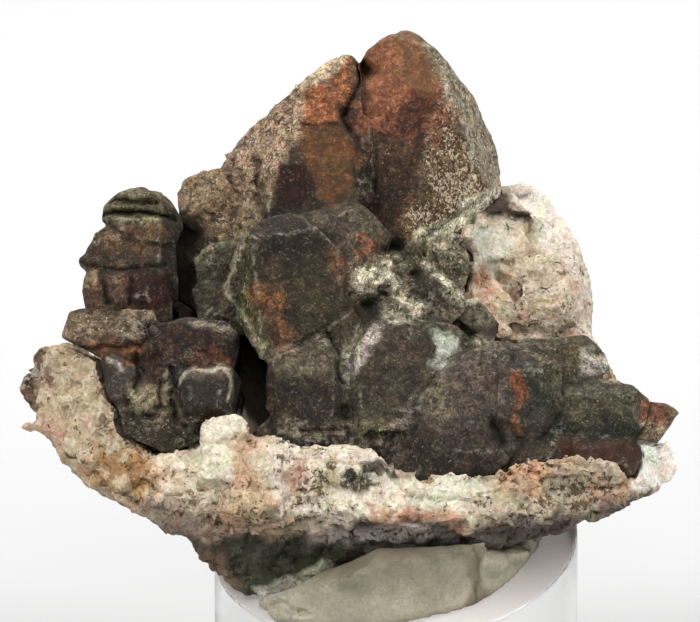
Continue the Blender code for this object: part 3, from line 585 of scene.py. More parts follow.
def matrix_skin():
    n = Nodes("sugary_matrix")
    tint, speck, _, dark, gloss, rust, bare = n.painted()
    n.warp(1.6, 0.0011)
    broad = n.noise(4.6, 5.0, 0.62, 0.4)
    blotch = n.noise(1.5, 4.0, 0.68, 0.6)
    grit = n.noise(0.5, 3.0, 0.65)
    value = n.times(n.span(broad, 0.3, 0.72, 0.84, 1.14), n.span(grit, 0.3, 0.7, 0.72, 1.2))
    colour = n.scaled(tint, value)
    # peach and ochre stains, then white sugary patches
    stain = n.times(rust, n.span(blotch, 0.46, 0.64))
    stained = n.scaled(n.mix(n.span(broad, 0.44, 0.56), PEACH, OCHRE), value)
    colour = n.mix(n.times(stain, 0.75), colour, stained)
    white = n.times(bare, n.span(n.noise(2.1, 4.0, 0.64), 0.5, 0.6))
    sugar = n.scaled(n.mix(blotch, SUGAR_DIM, SUGAR), n.span(grit, 0.3, 0.7, 0.84, 1.1))
    colour = n.mix(n.times(white, 0.75), colour, sugar)
    # greenish cream in places, pink in others
    hue = n.noise(3.6, 4.0, 0.6)
    colour = n.mix(n.span(hue, 0.52, 0.64, 0.0, 0.85), colour, (0.93, 1.0, 0.86), "MULTIPLY")
    colour = n.mix(n.span(hue, 0.48, 0.36, 0.0, 0.85), colour, (1.04, 0.89, 0.83), "MULTIPLY")
    # olive and brown-black grains, in threads and clumps
    clumps = n.span(n.noise(2.8, 3.0, 0.6), 0.38, 0.62, 0.07, -0.06)
    level = n.plus(n.less(0.68, n.times(speck, 0.24)), clumps, n.times(white, 0.06))
    black = n.span(n.less(n.noise(0.8, 5.0, 0.74), level), -0.03, 0.05)
    shade = n.mix(n.span(blotch, 0.4, 0.6), BROWN_GRAIN, OLIVE_GRAIN)
    colour = n.mix(n.times(black, 0.9), colour, shade, "MULTIPLY")
    # painted shade: near black in cracks and in the recess behind the crystals
    colour = n.mix(n.times(dark, 0.97), colour, MATRIX_SHADE_BLACK)
    rough = n.less(n.span(grit, 0.2, 0.8, 0.5, 0.86), n.times(gloss, 0.32))
    height = n.less(n.plus(n.times(grit, 0.7), n.times(blotch, 0.7)), n.times(black, 0.3))
    height = n.plus(height, n.times(n.noise(0.24, 2.0, 0.6), 0.25))
    waxy = {"Subsurface_Weight": 0.15, "Subsurface_Radius": (1.0, 0.7, 0.5), "Subsurface_Scale": MM}
    return n.finish(colour, n.math("MAXIMUM", rough, dark), 0.24, height, 0.95, 0.00045, **waxy)


def putty_skin():
    n = Nodes("grey_putty")
    tint, _, _, dark, *_ = n.painted()
    grit = n.noise(0.5, 3.0, 0.7)
    colour = n.scaled(tint, n.span(n.noise(9.0, 4.0, 0.6), 0.35, 0.65, 0.88, 1.1))
    colour = n.scaled(colour, n.span(grit, 0.3, 0.7, 0.84, 1.14))
    # crumbs and stains pressed in
    colour = n.mix(n.span(n.noise(1.0, 5.0, 0.8), 0.57, 0.66, 0, 0.65), colour, (0.15, 0.13, 0.09))
    # painted shade in the crack
    colour = n.mix(dark, colour, (0.06, 0.05, 0.035))
    return n.finish(colour, n.span(grit, 0.2, 0.8, 0.55, 0.8), 0.35, grit, 0.6, 0.00015)


def acrylic_skin():
    """Clear, with polished sides and a slanted top gone matt."""
    n = Nodes("clear_acrylic")
    wipe = n.noise(6.0, 4.0, 0.6, 0.8)
    colour = n.mix(n.span(wipe, 0.3, 0.7), (0.985, 0.985, 0.98), (1.0, 1.0, 1.0))
    facing = n.add("ShaderNodeTexCoord").outputs["Normal"]
    facing = n.add("ShaderNodeSeparateXYZ", {0: facing}).outputs[2]
    top = n.span(facing, 0.45, 0.75)
    colour = n.mix(top, colour, (0.96, 0.9, 0.87))
    rough = n.plus(n.span(wipe, 0.3, 0.75, 0.03, 0.09), n.times(top, 0.42))
    clear = {"IOR": 1.49, "Transmission_Weight": n.span(top, 0.0, 1.0, 1.0, 0.7)}
    return n.finish(colour, rough, 0.5, n.noise(1.2, 3.0, 0.6), 0.05, 0.00004, **clear)


def floor_skin():
    n = Nodes("pale_floor")
    # painted shade: the floor is darker in front and lighter far behind, standing in for how the light falls
    # off
    far = n.span(n.add("ShaderNodeSeparateXYZ", {0: n.place}).outputs[1], -3.06, -2.62)
    colour = n.mix(far, (0.49, 0.49, 0.49), (0.63, 0.63, 0.63))
    colour = n.mix(n.span(n.noise(60.0, 2.0, 0.5), 0.3, 0.7, 0, 0.02), colour, (0.78, 0.78, 0.78))
    n.feed(n.shader, {"Base Color": colour, "Roughness": 0.9, "Specular IOR Level": 0.1})
    return n.material


# ---- Brown to grey crystals ----

# Outlines and lines are in millimetres across and up. A patch's number in its list seeds its edge.
CLUSTER_PAINT = [
    # peak
    spot("1.5,81 -4,78 -5.4,74 -4.6,70.8 0,71 6,70.6 6.9,73.6 4.8,79", (0.21, 0.11, 0.056), 1, 0.4,
         gloss=0.2, bare=0.8),
    spot("-5.2,71.2 6.4,70.8 5,66.5 3.6,64.6 -2,65.3 -7.8,66.6", (0.082, 0.021, 0.008), 0.95, 0.7, 0.7,
         rust=0.25),
    spot("-4.8,66.4 -1.4,66 1.2,71 1.4,77 -1,78.4 -3.6,76.6 -3,73 -4.6,70", (0.3, 0.14, 0.08), 0.8, 0.7, 0.5,
         speck=0.1, bare=0.5),
    spot("-6.2,65.8 4,65 2.8,60 2.2,56 1,50.5 -4,54.5 -6.2,56", (0.076, 0.04, 0.019), 0.96, 0.8, 0.7,
         rust=0),
    spot("-5.6,60.2 -1.5,60 -1.5,56.5 -5.4,56", (0.008, 0.007, 0.005), 0.8, 0.5, 0.5),
    spot("-4,58 1.6,57.6 1.4,50.6 -3,54", (0.04, 0.026, 0.017), 0.8, 1, 0.5),
    spot("6.2,75 7,72 4.3,64 2.8,60 2.3,56 1,50 3,48.5 14,57.5 11,61 9.5,65 8,69", (0.18, 0.12, 0.066), 0.92,
         1.3, 0.5, speck=0.72),
    spot("5.6,75.5 7.5,72.5 8.8,67 5.4,64 4.3,65 6,70", (0.28, 0.14, 0.088), 0.75, 0.6, 0.5, speck=0.42),
    spot("5,77.8 8,75 12,69.5 16,62 16,57 13,57.5 11,61 9.5,65 8,68.5 6.8,72.4", (0.34, 0.3, 0.23),
         speck=0.4),
    spot("16,58.2 13,58 9,55.5 7,53 2.2,50.5 3,47 8,49 15,54", (0.7, 0.67, 0.54), speck=0.2),
    # shoulder
    spot("-14,73.4 -6.7,78 -5.2,75 -6,71 -8,66.6 -13.2,66", (0.32, 0.14, 0.065), 0.95, 0.5, 0.6, rust=0.2,
         speck=0.2),
    spot("-15,71.4 -13.4,71 -10.2,72.7 -7.8,74.4 -6.6,76.4 -7.6,79 -13,77", (0.6, 0.5, 0.37), 0.85, 0.25,
         -0.35, speck=0.2, rust=0),
    spot("-13.4,66.2 -6,65.6 -5.8,56 -8.5,54.6 -10.7,57 -14,62", (0.14, 0.07, 0.028), 0.95, gloss=0.1,
         bare=0.6),
    # painted shade on the shoulder's lower left facet
    spot("-18,60.4 -13.4,62 -10.7,57 -12.6,54.4 -18,54", (0.041, 0.012, 0.002), 0.95),
    spot("-13.2,66 -13.2,72.6 -17,71 -25,63 -27,57 -26,51 -20,50.3 -19.4,53 -18,60.8", (0.36, 0.26, 0.19),
         0.95, 0.6, 0.5, speck=0.5),
    spot("-18.6,60 -25.4,60.5 -26.6,51 -20,50.5 -18.4,54", (0.23, 0.17, 0.11), 0.8, 1.2, 0.8, speck=0.34),
    spot("-24.8,61.5 -31.5,59 -31,52.6 -25.6,53", (0.26, 0.19, 0.12), speck=0.35),
    # centre
    spot("-24.6,43 -22.3,50.6 -19,53.6 -14,54.8 -8,50 -5.6,45 -5.6,40 -12,35.4 -16,33 -19.4,33.6",
         (0.065, 0.05, 0.028), 1, 0.5, 0.3),
    spot("-19,53.4 -13.5,54.6 -8.5,50.2 -10,47 -19.6,47.6", (0.027, 0.016, 0.011), 0.8, 1.6, 1),
    spot("-24.6,43 -22.3,50.6 -20.8,50 -20.3,44.6 -18,37 -17.6,34 -20,34", (0.13, 0.12, 0.058), 0.9, 0.4,
         0.3, speck=0.35),
    spot("-19.8,43.8 -15,43.6 -14.6,41.4 -19,40.6", (0.2, 0.09, 0.029), 0.6, 0.6, 0.9, rust=0.75),
    spot("-17.8,39.8 -15.2,39.6 -15,35 -17.2,34.6", (0.16, 0.075, 0.029), 0.6, 0.5, 0.7, rust=0.6),
    spot("-8.6,49.6 -6.2,48 -5.8,44 -8,44", (0.16, 0.09, 0.045), 0.7, 0.5, 0.6, rust=0.6),
    spot("-14,54 -10,55 -6.4,57 -3.6,55 -0.2,51 -1.8,47.6 -6,45.4 -8,49.8 -12.4,53.2", (0.11, 0.088, 0.065),
         0.95, 0.4, 0.3, speck=0.1),
    spot("-5.4,51 -2.4,50.6 -2.2,48 -4.6,47.8", (0.21, 0.1, 0.053), 0.7, 0.5, 0.5, rust=0.8),
    spot("-28.8,50.6 -21.6,51 -21,46 -23,38 -29,38.6", (0.07, 0.055, 0.036), speck=0.16),
    # painted shade in the gap between the tower and the cluster
    spot("-33,54.6 -28,54.6 -27.2,51.6 -28.2,48.6 -27.8,40 -32,38", None, 1, 0.5, 0.3, dark=0.93),
    # rubble in the middle
    spot("-6.6,48 3,50 10.6,51.5 14.6,38.8 9,38 2,39 -6,42", (0.15, 0.13, 0.091), 0.9, 0.6, 0.5, speck=0.42),
    spot("2.8,44.6 7.4,45 8.2,40.4 3,39.8", (0.031, 0.023, 0.009), 0.85, 0.7, 0.6, speck=0.06),
    # painted shade in a hole in the rubble
    spot("-5.4,42 -3.4,42.6 -2,41.4 -3,39.8 -5,40", None, 1, 0.4, 0.3, dark=0.9),
    # lower row
    spot("-18.4,34.4 -14,36 -10,37.2 -7.8,36.4 -7.4,31 -17.6,30.4", (0.12, 0.1, 0.069), 0.95, 1, 0.6,
         speck=0.12),
    spot("-18.4,30.6 -7.4,31 -6,24 -8,21 -16,21 -18.6,26", (0.043, 0.03, 0.021), 0.95, 1.2, 0.8),
    spot("-7.6,30 -6,35 -3.4,39.6 7,39.4 13,37 8,33.4 1.4,25 -6,23.4", (0.074, 0.058, 0.04), 0.95,
         speck=0.06),
    spot("-7.6,30 -6.8,34.6 -4.2,39 -2.2,38.6 -4.4,34 -5.8,29", (0.46, 0.41, 0.37), 0.8, 0.6, speck=0.45),
    spot("5.4,37 8.8,37.4 8.2,33.6 6.8,31.6 5,32.6", (0.59, 0.61, 0.55), 0.85, 0.7, 0.5, gloss=0.7),
    spot("7.8,34.2 14,36.6 16.4,35 17,22 15,19 10,15.6 -2.6,16.4 -3.3,19.8 1,26", (0.12, 0.095, 0.08), 0.95,
         speck=0.1),
    spot("2,24.6 14.6,24 15.4,20 10,15.6 3,15.8 0,20", (0.051, 0.036, 0.028), 0.85, 1.3, 0.8),
    spot("3.4,31.4 5.4,32.4 7.6,26 6,25", (0.16, 0.138, 0.09), 0.8, 0.7, 0.5, speck=0.25),
    spot("9,35.6 19,36.6 22,34 12,33.2", (0.19, 0.165, 0.12), 0.7, 0.8, 0.7, speck=0.25),
    spot("14.4,36.4 18,36 23.4,33 23.6,26 21,23 15.6,21.6", (0.07, 0.06, 0.046), 0.95),
    spot("16,32 17.6,32 17.4,24 16.2,24", (0.3, 0.11, 0.034), 0.7, 0.5, 0.2, rust=0.5),
    spot("18.4,32.8 23.4,32.6 23.2,26.2 18.6,26", (0.033, 0.04, 0.025)),
    spot("21,31 28,32 35.8,28.4 35,24 22,25", (0.099, 0.089, 0.061), 0.95, speck=0.18),
    spot("21,26 34.6,25.6 34,21.6 21,22", (0.02, 0.027, 0.015), 0.9, 0.7, 0.5),
    spot("22.4,23 34.4,23.2 34.8,20 32.6,16.4 24.6,17", (0.083, 0.04, 0.023), 0.95, 0.4, 0.3, gloss=0.4,
         bare=1),
    spot("23,19.4 33,19 31,16.4 24.6,17", (0.05, 0.042, 0.03), 0.7, 0.8, 0.5),
    spot("34.6,29 40.6,27 38.4,23.6 34.4,23.4", (0.24, 0.12, 0.073), speck=0.2),
    spot("34.2,25.2 36.6,25.4 38.4,24.2 38,21.6 34.2,21.6", (0.38, 0.3, 0.22), 0.85, 0.4, speck=0.4),
    spot("38,27.6 40.4,27.4 40.4,24.8 38.4,24.8", (0.13, 0.13, 0.085), 0.7, 0.4),
    spot("18,37 30.6,37 30.4,31 20,30.6", (0.098, 0.083, 0.05), 0.9, 0.6, 0.5, speck=0.3),
    spot("26.6,34.8 30.4,35 30,31.4 26.6,31", (0.51, 0.47, 0.43), 0.75, 0.6, 0.5),
    # small corrections over the rest
    spot("-3.4,63.8 1.4,63.8 1.2,59 -2.8,59.2", (0.12, 0.078, 0.048), 0.7, 0.8, 0.6, speck=0.25),
    spot("-15,41 -9,41 -9.6,38 -12.6,36 -15.4,36", (0.047, 0.037, 0.021), 0.75, 1, 0.6),
    spot("-4.4,45.4 -1.2,47.6 -0.4,45.2 -2.4,44.4", (0.62, 0.57, 0.46), 0.85, 0.3, 0, speck=0.3),
    spot("2.6,47.4 5.6,47.4 5.4,45 2.8,44.8", (0.075, 0.062, 0.038), 0.6, 0.5, 0.5, speck=0.2),
    spot("3.6,44 6.8,44 7,40 4,39.8", (0.036, 0.029, 0.013), 0.7, 0.5, 0.3, speck=0.03),
]

PALE, OLIVE, GREY = (0.72, 0.67, 0.54), (0.15, 0.13, 0.08), (0.26, 0.23, 0.19)
CLUSTER_LINES = [
    ("-12.4,36.2 -9.8,38 -7.6,39.8 -6.2,40.4", 0.28, GREY, 0.9, 0.2),
    ("-20.4,36.2 -18.6,34 -14,35", 0.5, (0.2, 0.17, 0.13), 0.8, 0.4),
    ("-10.8,36.6 -8.4,35", 0.25, GREY, 0.7, 0.2),
    ("-7.2,31 -7.3,34.4 -5.6,35.8 -4.6,38", 0.75, (0.27, 0.24, 0.18), 0.8, 0.3),
    ("-5.6,45.4 -4.4,44.6 -3.8,43.3", 0.65, PALE, 0.9, 0.3),
    ("-5,44.4 -3.8,45.4 -2.2,46.8 -0.8,47.8", 1.1, PALE, 0.95, 0.3),
    ("-3.2,45.8 -1.4,44.6 0,43.2 1.4,42.2 2.8,41", 0.95, PALE, 0.85, 0.4),
    ("-1.6,40.2 0.2,39.6 2.2,39.6 3,40.2", 0.8, (0.6, 0.56, 0.45), 0.9, 0.4),
    ("4.6,46.8 6.2,45.2 7,44", 0.7, PALE, 0.8, 0.3),
    ("3.6,49.6 6,49.8 8.6,48.6 10.4,48.4", 0.7, (0.4, 0.35, 0.26), 0.8, 0.4),
    ("7.2,42.6 8.4,42.6 9.4,41.6 11,42", 0.6, PALE, 0.7, 0.4),
    ("3,50.4 5.4,52 9,54.4 13.4,57.6", 0.4, (0.3, 0.27, 0.2), 0.8, 0.35),
    ("6.4,36.8 8,37.4 11,36.4 13,35.6", 0.7, (0.42, 0.4, 0.3), 0.8, 0.35),
    ("7.4,34 4,30 1.4,26.4 -1.8,22", 1, (0.17, 0.145, 0.11), 0.75, 0.5),
    ("-15.4,24.6 -11,23.4 -6,24.6 -1.6,24", 1.1, OLIVE, 0.85, 0.4),
    ("-20.9,51.4 -22.6,47.2 -23.8,43.6 -22,41 -18.8,34.8", 0.4, (0.36, 0.33, 0.25), 0.8, 0.4),
    ("-17.9,54.4 -17.8,60.6", 0.22, (0.3, 0.25, 0.18), 0.8, 0.2),
    ("-24.6,43.4 -20.4,45.4 -19.4,50", 0.3, (0.12, 0.1, 0.07), 0.6, 0.3),
    ("13.2,35.6 17.6,35.6 22.6,32.6", 0.5, (0.17, 0.15, 0.115), 0.7, 0.4),
    ("-28.2,47.8 -25.6,49.4 -22,50.2", 0.5, (0.2, 0.18, 0.12), 0.8, 0.4),
    ("-27,44.6 -24.4,46.6 -22.8,48.6", 0.35, (0.17, 0.15, 0.1), 0.7, 0.4),
]

RUBBLE = "-6,47 3,49.4 10,51 13,40 8,37.6 -5,38.4"
CLUSTER_CHIPS = [
    (RUBBLE, 70, (1.6, 3.4), 11, 0.35),
    ("-28,50 -21,51 -21,38 -28,38", 26, (1.4, 3), 12, 0.35),
    ("18,37 30,36 34,28 30,31 18,31.5", 22, (1.2, 2.6), 13, 0.35),
    ("-14,72 -7,76.4 -5.6,70 -8.6,66.8 -12.8,67", 12, (2.4, 4.6), 15, 0.55),
    ("-14,72 -13.6,66 -18.4,60 -20,51 -30,54 -30,58 -24.6,60 -17,69", 150, (1, 2.2), 16, 0.5),
    ("-16,24.6 -1.6,24.6 -3,21 -15,21.4", 40, (1, 2.4), 17, 0.35),
    ("7.6,35 12,36.6 14,35 22,32.6 14,33.6 3,25 -3,18.6 -3,22", 50, (0.9, 1.9), 18, 0.5),
    ("21,24.6 34,24 33,22 21,22", 10, (1, 2.2), 14, 0.35),
    ("-24.8,62.4 -22.4,63 -22.4,60.8 -24.8,60.4", 5, (1.4, 2.6), 61, 0.35),
    ("-18,69.4 -15,70.4 -14.6,68.4 -17.4,67.4", 5, (1.4, 2.8), 62, 0.35),
]
CLUSTER_LUMPS = [
    (-4.5, 1.4, 66, 1.2, 1.3, 2.2, 63), (-4.6, 0.2, 63, 1.4, 1.6, 2.6, 64),
    (-4.6, -0.9, 60.2, 1.5, 2, 2.8, 65), (-4.7, -1.7, 57.2, 1.6, 2.5, 2.6, 66),
    (9.4, -0.6, 46.6, 1.3, 2.4, 1.6, 67), (8.7, -3.6, 39.4, 1.8, 3, 1.4, 68),
    (12.4, -3.4, 37.6, 2, 3.4, 1.4, 69),
]
CLUSTER_GROOVES = [
    ("-4.4,75.4 -5.1,72.5 -6.2,70.2 -7.6,67.6 -6.6,65.6", 0.5, 1.2),
    ("-19,61.6 -19.5,58.4 -19,55.4", 0.45, 0.8),
    ("-5.6,64.6 -6,60 -5.8,56", 0.32, 0.5),
    ("-3.9,74.3", 1.1, 2.6),
    ("-7.2,68.4", 1, 1.8),
    ("-4.4,41.2 -3.2,41.6", 0.9, 2.4),
    ("2.4,45.4", 0.7, 1.6),
    ("-9.8,37.4 -8.1,35.2 -8.1,31.2 -7.4,30.2", 0.28, 0.9),
    ("-13,23.9 -9.4,23.8 -6.6,24.3 -6.5,22.8", 0.28, 0.7),
    ("-1.6,49.2 0.2,49.4", 0.8, 1.4),
    ("-2.4,43.6 -1.4,42.8", 0.5, 1),
    ("9.2,38.2 10.6,37.2", 0.6, 1.2),
    ("13.6,25 14.8,22.4", 0.8, 1.4),
    ("-13.2,66.2 -8.4,66.4", 0.35, 0.45),
    ("-5,70.8 0,71 6,70.6", 0.3, 0.3),
]


def crystal_relief(surface, soft):
    """Softened, chipped, drusy crystal faces; pale edges partly worn, partly painted highlight; painted
    shade in valleys.
    """
    p = surface.rest
    ridge, valley = surface.away_from(surface.convex), surface.away_from(surface.concave)
    surface.tint **= 1.32
    surface.edge = bell(ridge, 0.34) * smooth(noise(p, 2.4, 71), -0.4, 0.6)
    # painted shade: darker along the valleys between faces, where shade falls
    shade = 0.75 * bell(valley, 0.5) * smooth(noise(p, 3.0, 72), -0.9, 0.1)
    surface.dark = np.maximum(surface.dark, shade)
    surface.bare = np.maximum(surface.bare, surface.gloss)
    share = 0.25 + 0.75 * bell(ridge, 0.9)
    surface.relax(soft, share * np.clip(1.15 - 2.2 * surface.speck, 0.12, 1))
    chip = smooth(noise(p, 1.7, 73), 0.2, 0.7) * bell(ridge, 0.8)
    grains = cells(p + 0.3 * columns(noise, p, 1.1, (77, 78, 79)), 1.15, 74)
    druse = (0.55 - grains[0]) * 0.1 * (1 + 2.0 * surface.speck)
    broad = 0.26 * fbm(p, 4.2, 3, 75) + 0.13 * fbm(p, 1.5, 2, 76)
    surface.push(broad - 0.3 * chip + druse)


CRYSTALS = crystal_skin()


def dress_crystals(surface, slot, colour, paint, lines, grooves, soft):
    surface.start_paint(colour)
    surface.paint(paint)
    surface.trace(lines)
    crystal_relief(surface, soft)
    surface.grooves(grooves)
    surface.store(CRYSTALS, slot)


chips = chips_on("crystal_cluster", CLUSTER_CHIPS) + lumps(CLUSTER_LUMPS)
cluster = Surface("crystal_cluster", CLUSTER_VOXEL, chips, limit=MOST_TRIANGLES)
base = (0.075, 0.056, 0.038)
dress_crystals(cluster, "brown_crystal", base, CLUSTER_PAINT, CLUSTER_LINES, CLUSTER_GROOVES, 3)

# ---- The tower at the upper left ----

TOWER_PAINT = [
    spot("-29.4,55 -33,58.4 -39,58 -42,55 -41.8,53 -30,52.6", (0.15, 0.13, 0.076), 1, 0.4, 0.3, speck=0.2),
    spot("-41.6,54.2 -30,53.8 -29.8,52.8 -41.4,53", (0.31, 0.28, 0.19), 0.6, 0.3, 0.3),
    spot("-45,52.8 -30,52.8 -30,46.6 -45,46.4", (0.13, 0.081, 0.043), 0.95, gloss=0.12),
    spot("-43,53 -37.4,52.8 -39.6,50.4 -43.4,49.4", (0.2, 0.145, 0.1), 0.85, speck=0.5),
    spot("-44,46.4 -41.8,46.4 -41.8,43.6 -44,43.6", (0.34, 0.26, 0.165), 0.8, 0.4, 0.3),
    # painted shade down the tower's right side, beside the gap
    spot("-33,56 -28,56 -28,40 -32.6,40", (0.035, 0.026, 0.02), 0.85, 1, 0.5),
    spot("-45,49.6 -30,48.8 -30,45.6 -45,46", (0.053, 0.044, 0.036), 0.7, 0.9, 0.6),
    spot("-42,46.8 -36.8,46.6 -37.4,43.4 -42,43.4", (0.14, 0.088, 0.059), 0.75, 0.7, 0.5, speck=0.3),
    spot("-37.4,46 -31,45.6 -31,41 -38,41", (0.046, 0.008, 0.003), gloss=0.2),
    spot("-45,44.4 -41,44.4 -41,40 -45,40", (0.13, 0.075, 0.05), 0.7, 0.6, 0.5),
]
TOWER_LUMPS = [
    (-38.9, -6.4, 43.5, 0.9, 2.7, 2.2, 52), (-42.5, -3.6, 44.8, 1, 2.2, 1.7, 53),
    (-42.7, -4.4, 42.3, 1.1, 2.2, 1.2, 54), (-36.4, -4.2, 56.2, 3.2, 2, 1.5, 55),
    (-37.6, -5, 53.3, 3.7, 2.2, 0.7, 56), (-38, -4.6, 55.1, 2.8, 2.2, 0.6, 57),
    (-43.6, -4.4, 47.6, 1.1, 1.4, 0.8, 58),
]
TOWER_GROOVES = [
    ("-41,54.1 -38,54.2 -34.6,54.3 -31,53.2", 0.4, 1.1),
    ("-40,55.9 -36.6,55.8 -33.4,55.7", 0.35, 0.9),
    ("-42,46.6 -40.6,45.9 -36,46.2 -32.6,46.8", 0.4, 0.8),
    ("-41.3,45.6 -40.6,43.6 -40.4,41.4", 0.5, 1),
    ("-37.6,45.4 -36.9,43.2 -37.2,41.4", 0.4, 0.8),
]

tower = Surface("tower_crystals", TOWER_VOXEL, lumps(TOWER_LUMPS))
base = (0.09, 0.066, 0.044)
dress_crystals(tower, "dark_crystal", base, TOWER_PAINT, [], TOWER_GROOVES, 16)

# ---- The crystals at the lower left ----

LEFT_PAINT = [
    spot("-47,41.4 -33,41.4 -32.6,37.4 -47,35", (0.21, 0.16, 0.11), 0.95, 0.5, 0.5, speck=0.4),
    spot("-45,37 -33,37.2 -33,34 -45,34", (0.09, 0.06, 0.04), 0.8, 0.7, 0.6),
    spot("-35.6,39 -21,39.8 -21,31 -35,31", (0.027, 0.012, 0.008), 0.95, rust=0.12),
    spot("-28.4,35.4 -21.4,35 -21.4,32.2 -28.4,32.8", (0.071, 0.02, 0.004), 0.85, 0.5, 0.5, rust=0.5),
    spot("-31.6,31.8 -26,33.6 -21,32 -21.8,25 -31.4,25", (0.033, 0.023, 0.015), 1, 0.4, 0.3, gloss=0.75,
         bare=0.7, speck=0.1),
    spot("-29.6,32.4 -23,32.6 -23.4,31.2 -29,31", (0.16, 0.14, 0.11), 0.6, 0.4, 0.5, speck=0.3),
    spot("-38,30.4 -32.4,30.6 -32.6,25.4 -37,25.2", (0.26, 0.22, 0.15), speck=0.2),
    spot("-41.4,34.8 -36,33 -37,27 -41,28", (0.06, 0.047, 0.034), gloss=0.6),
    spot("-43,35.6 -36.4,35.8 -37,33.6 -42.6,33.4", (0.18, 0.093, 0.048), 0.7, 0.5, 0.5, rust=0.5),
    spot("-39,27 -27,27 -26,21.6 -38,21.6", (0.054, 0.041, 0.024), 0.9, 0.6, 0.5, speck=0.3),
    # painted shade in the gap to the right of these crystals
    spot("-23.4,39.6 -19,40 -19,24 -22.4,24.6", None, 1, 0.8, dark=0.6),
]
LEFT_LINES = [
    ("-30.4,30.4 -29.8,31.5 -28,32.4 -26,32.5 -24,32.7 -22.9,31.6 -22.6,29.6 -23.3,28", 0.36,
     (0.42, 0.4, 0.33), 0.85, 0.3),
    # painted highlight along the ball's lit left edge
    ("-30.7,29.4 -30.3,27.2 -29.6,24.6", 0.42, (0.3, 0.22, 0.17), 0.8, 0.3),
    ("-28.4,38.6 -26,38.6 -23.6,38.2 -22.4,37.4", 0.4, (0.26, 0.23, 0.19), 0.8, 0.5),
    ("-40,33.7 -38.9,33.1 -38.4,32.2", 0.4, (0.36, 0.34, 0.32), 0.85, 0.2),
    ("-37,30.2 -36.6,27.6 -35.4,26", 0.5, (0.42, 0.36, 0.24), 0.8, 0.4),
]
LEFT_CHIPS = [
    ("-38,27 -28,27 -27,22 -37,23", 24, (1.2, 2.6), 21, 0.35),
    ("-46,40.6 -34,40.6 -33,37.6 -45,35", 70, (1, 2.4), 23, 0.5),
    ("-36,34 -30,33 -31,29 -36,29", 14, (1.2, 2.4), 22, 0.35),
]
LEFT_LUMPS = [
    (-26.3, -13.7, 29, 4.6, 4.6, 4, 41), (-27.9, -10.2, 36, 6.6, 4.8, 3.7, 42),
    (-34.9, -13.4, 27.9, 2, 3.8, 2.4, 43), (-38.3, -12, 31, 2.1, 3.8, 3.2, 44),
    (-31.9, -13, 30.6, 2.2, 3.4, 2.4, 45), (-34.4, -14.6, 24.7, 3, 3.4, 1.9, 46),
    (-31.3, -12.8, 28.2, 1.7, 3.2, 2.8, 49), (-30.4, -14.8, 24.2, 1.6, 3.6, 2.8, 47),
    (-33, -11, 34.6, 2.4, 4.2, 2.6, 48),
]
LEFT_GROOVES = [
    ("-31.2,32.6 -30.8,29 -30.6,26.2 -29.4,24.4", 0.4, 1),
    ("-33,30.4 -32.8,27.4 -34,25.8 -36.4,25.6 -37.2,28", 0.35, 0.8),
    ("-36.2,34.4 -35.8,31.4 -36.6,29.8", 0.4, 0.9),
    ("-46,35.4 -40,35.3 -35.4,35.6 -34.4,38.6", 0.35, 0.7),
]

chips = chips_on("left_crystals", LEFT_CHIPS) + lumps(LEFT_LUMPS)
left = Surface("left_crystals", LEFT_VOXEL, chips)
base = (0.07, 0.052, 0.036)
dress_crystals(left, "dark_crystal", base, LEFT_PAINT, LEFT_LINES, LEFT_GROOVES, 10)

# ---- Matrix ----

BAND = "-50,34 -40,30 -30,19 -4,20 24,18 36,19 24,12 -30,11 -46,20"
UNDERSIDE = (
    "-34,10.6 -30,9.4 -25.6,8.4 -16.2,8.4 -11,10.2 -4,11.4 2.4,11 10,10.9 16,10.8 22,11.6 30,12.8 36,15"
    " 40,10 30,2 -20,-6 -34,4"
)
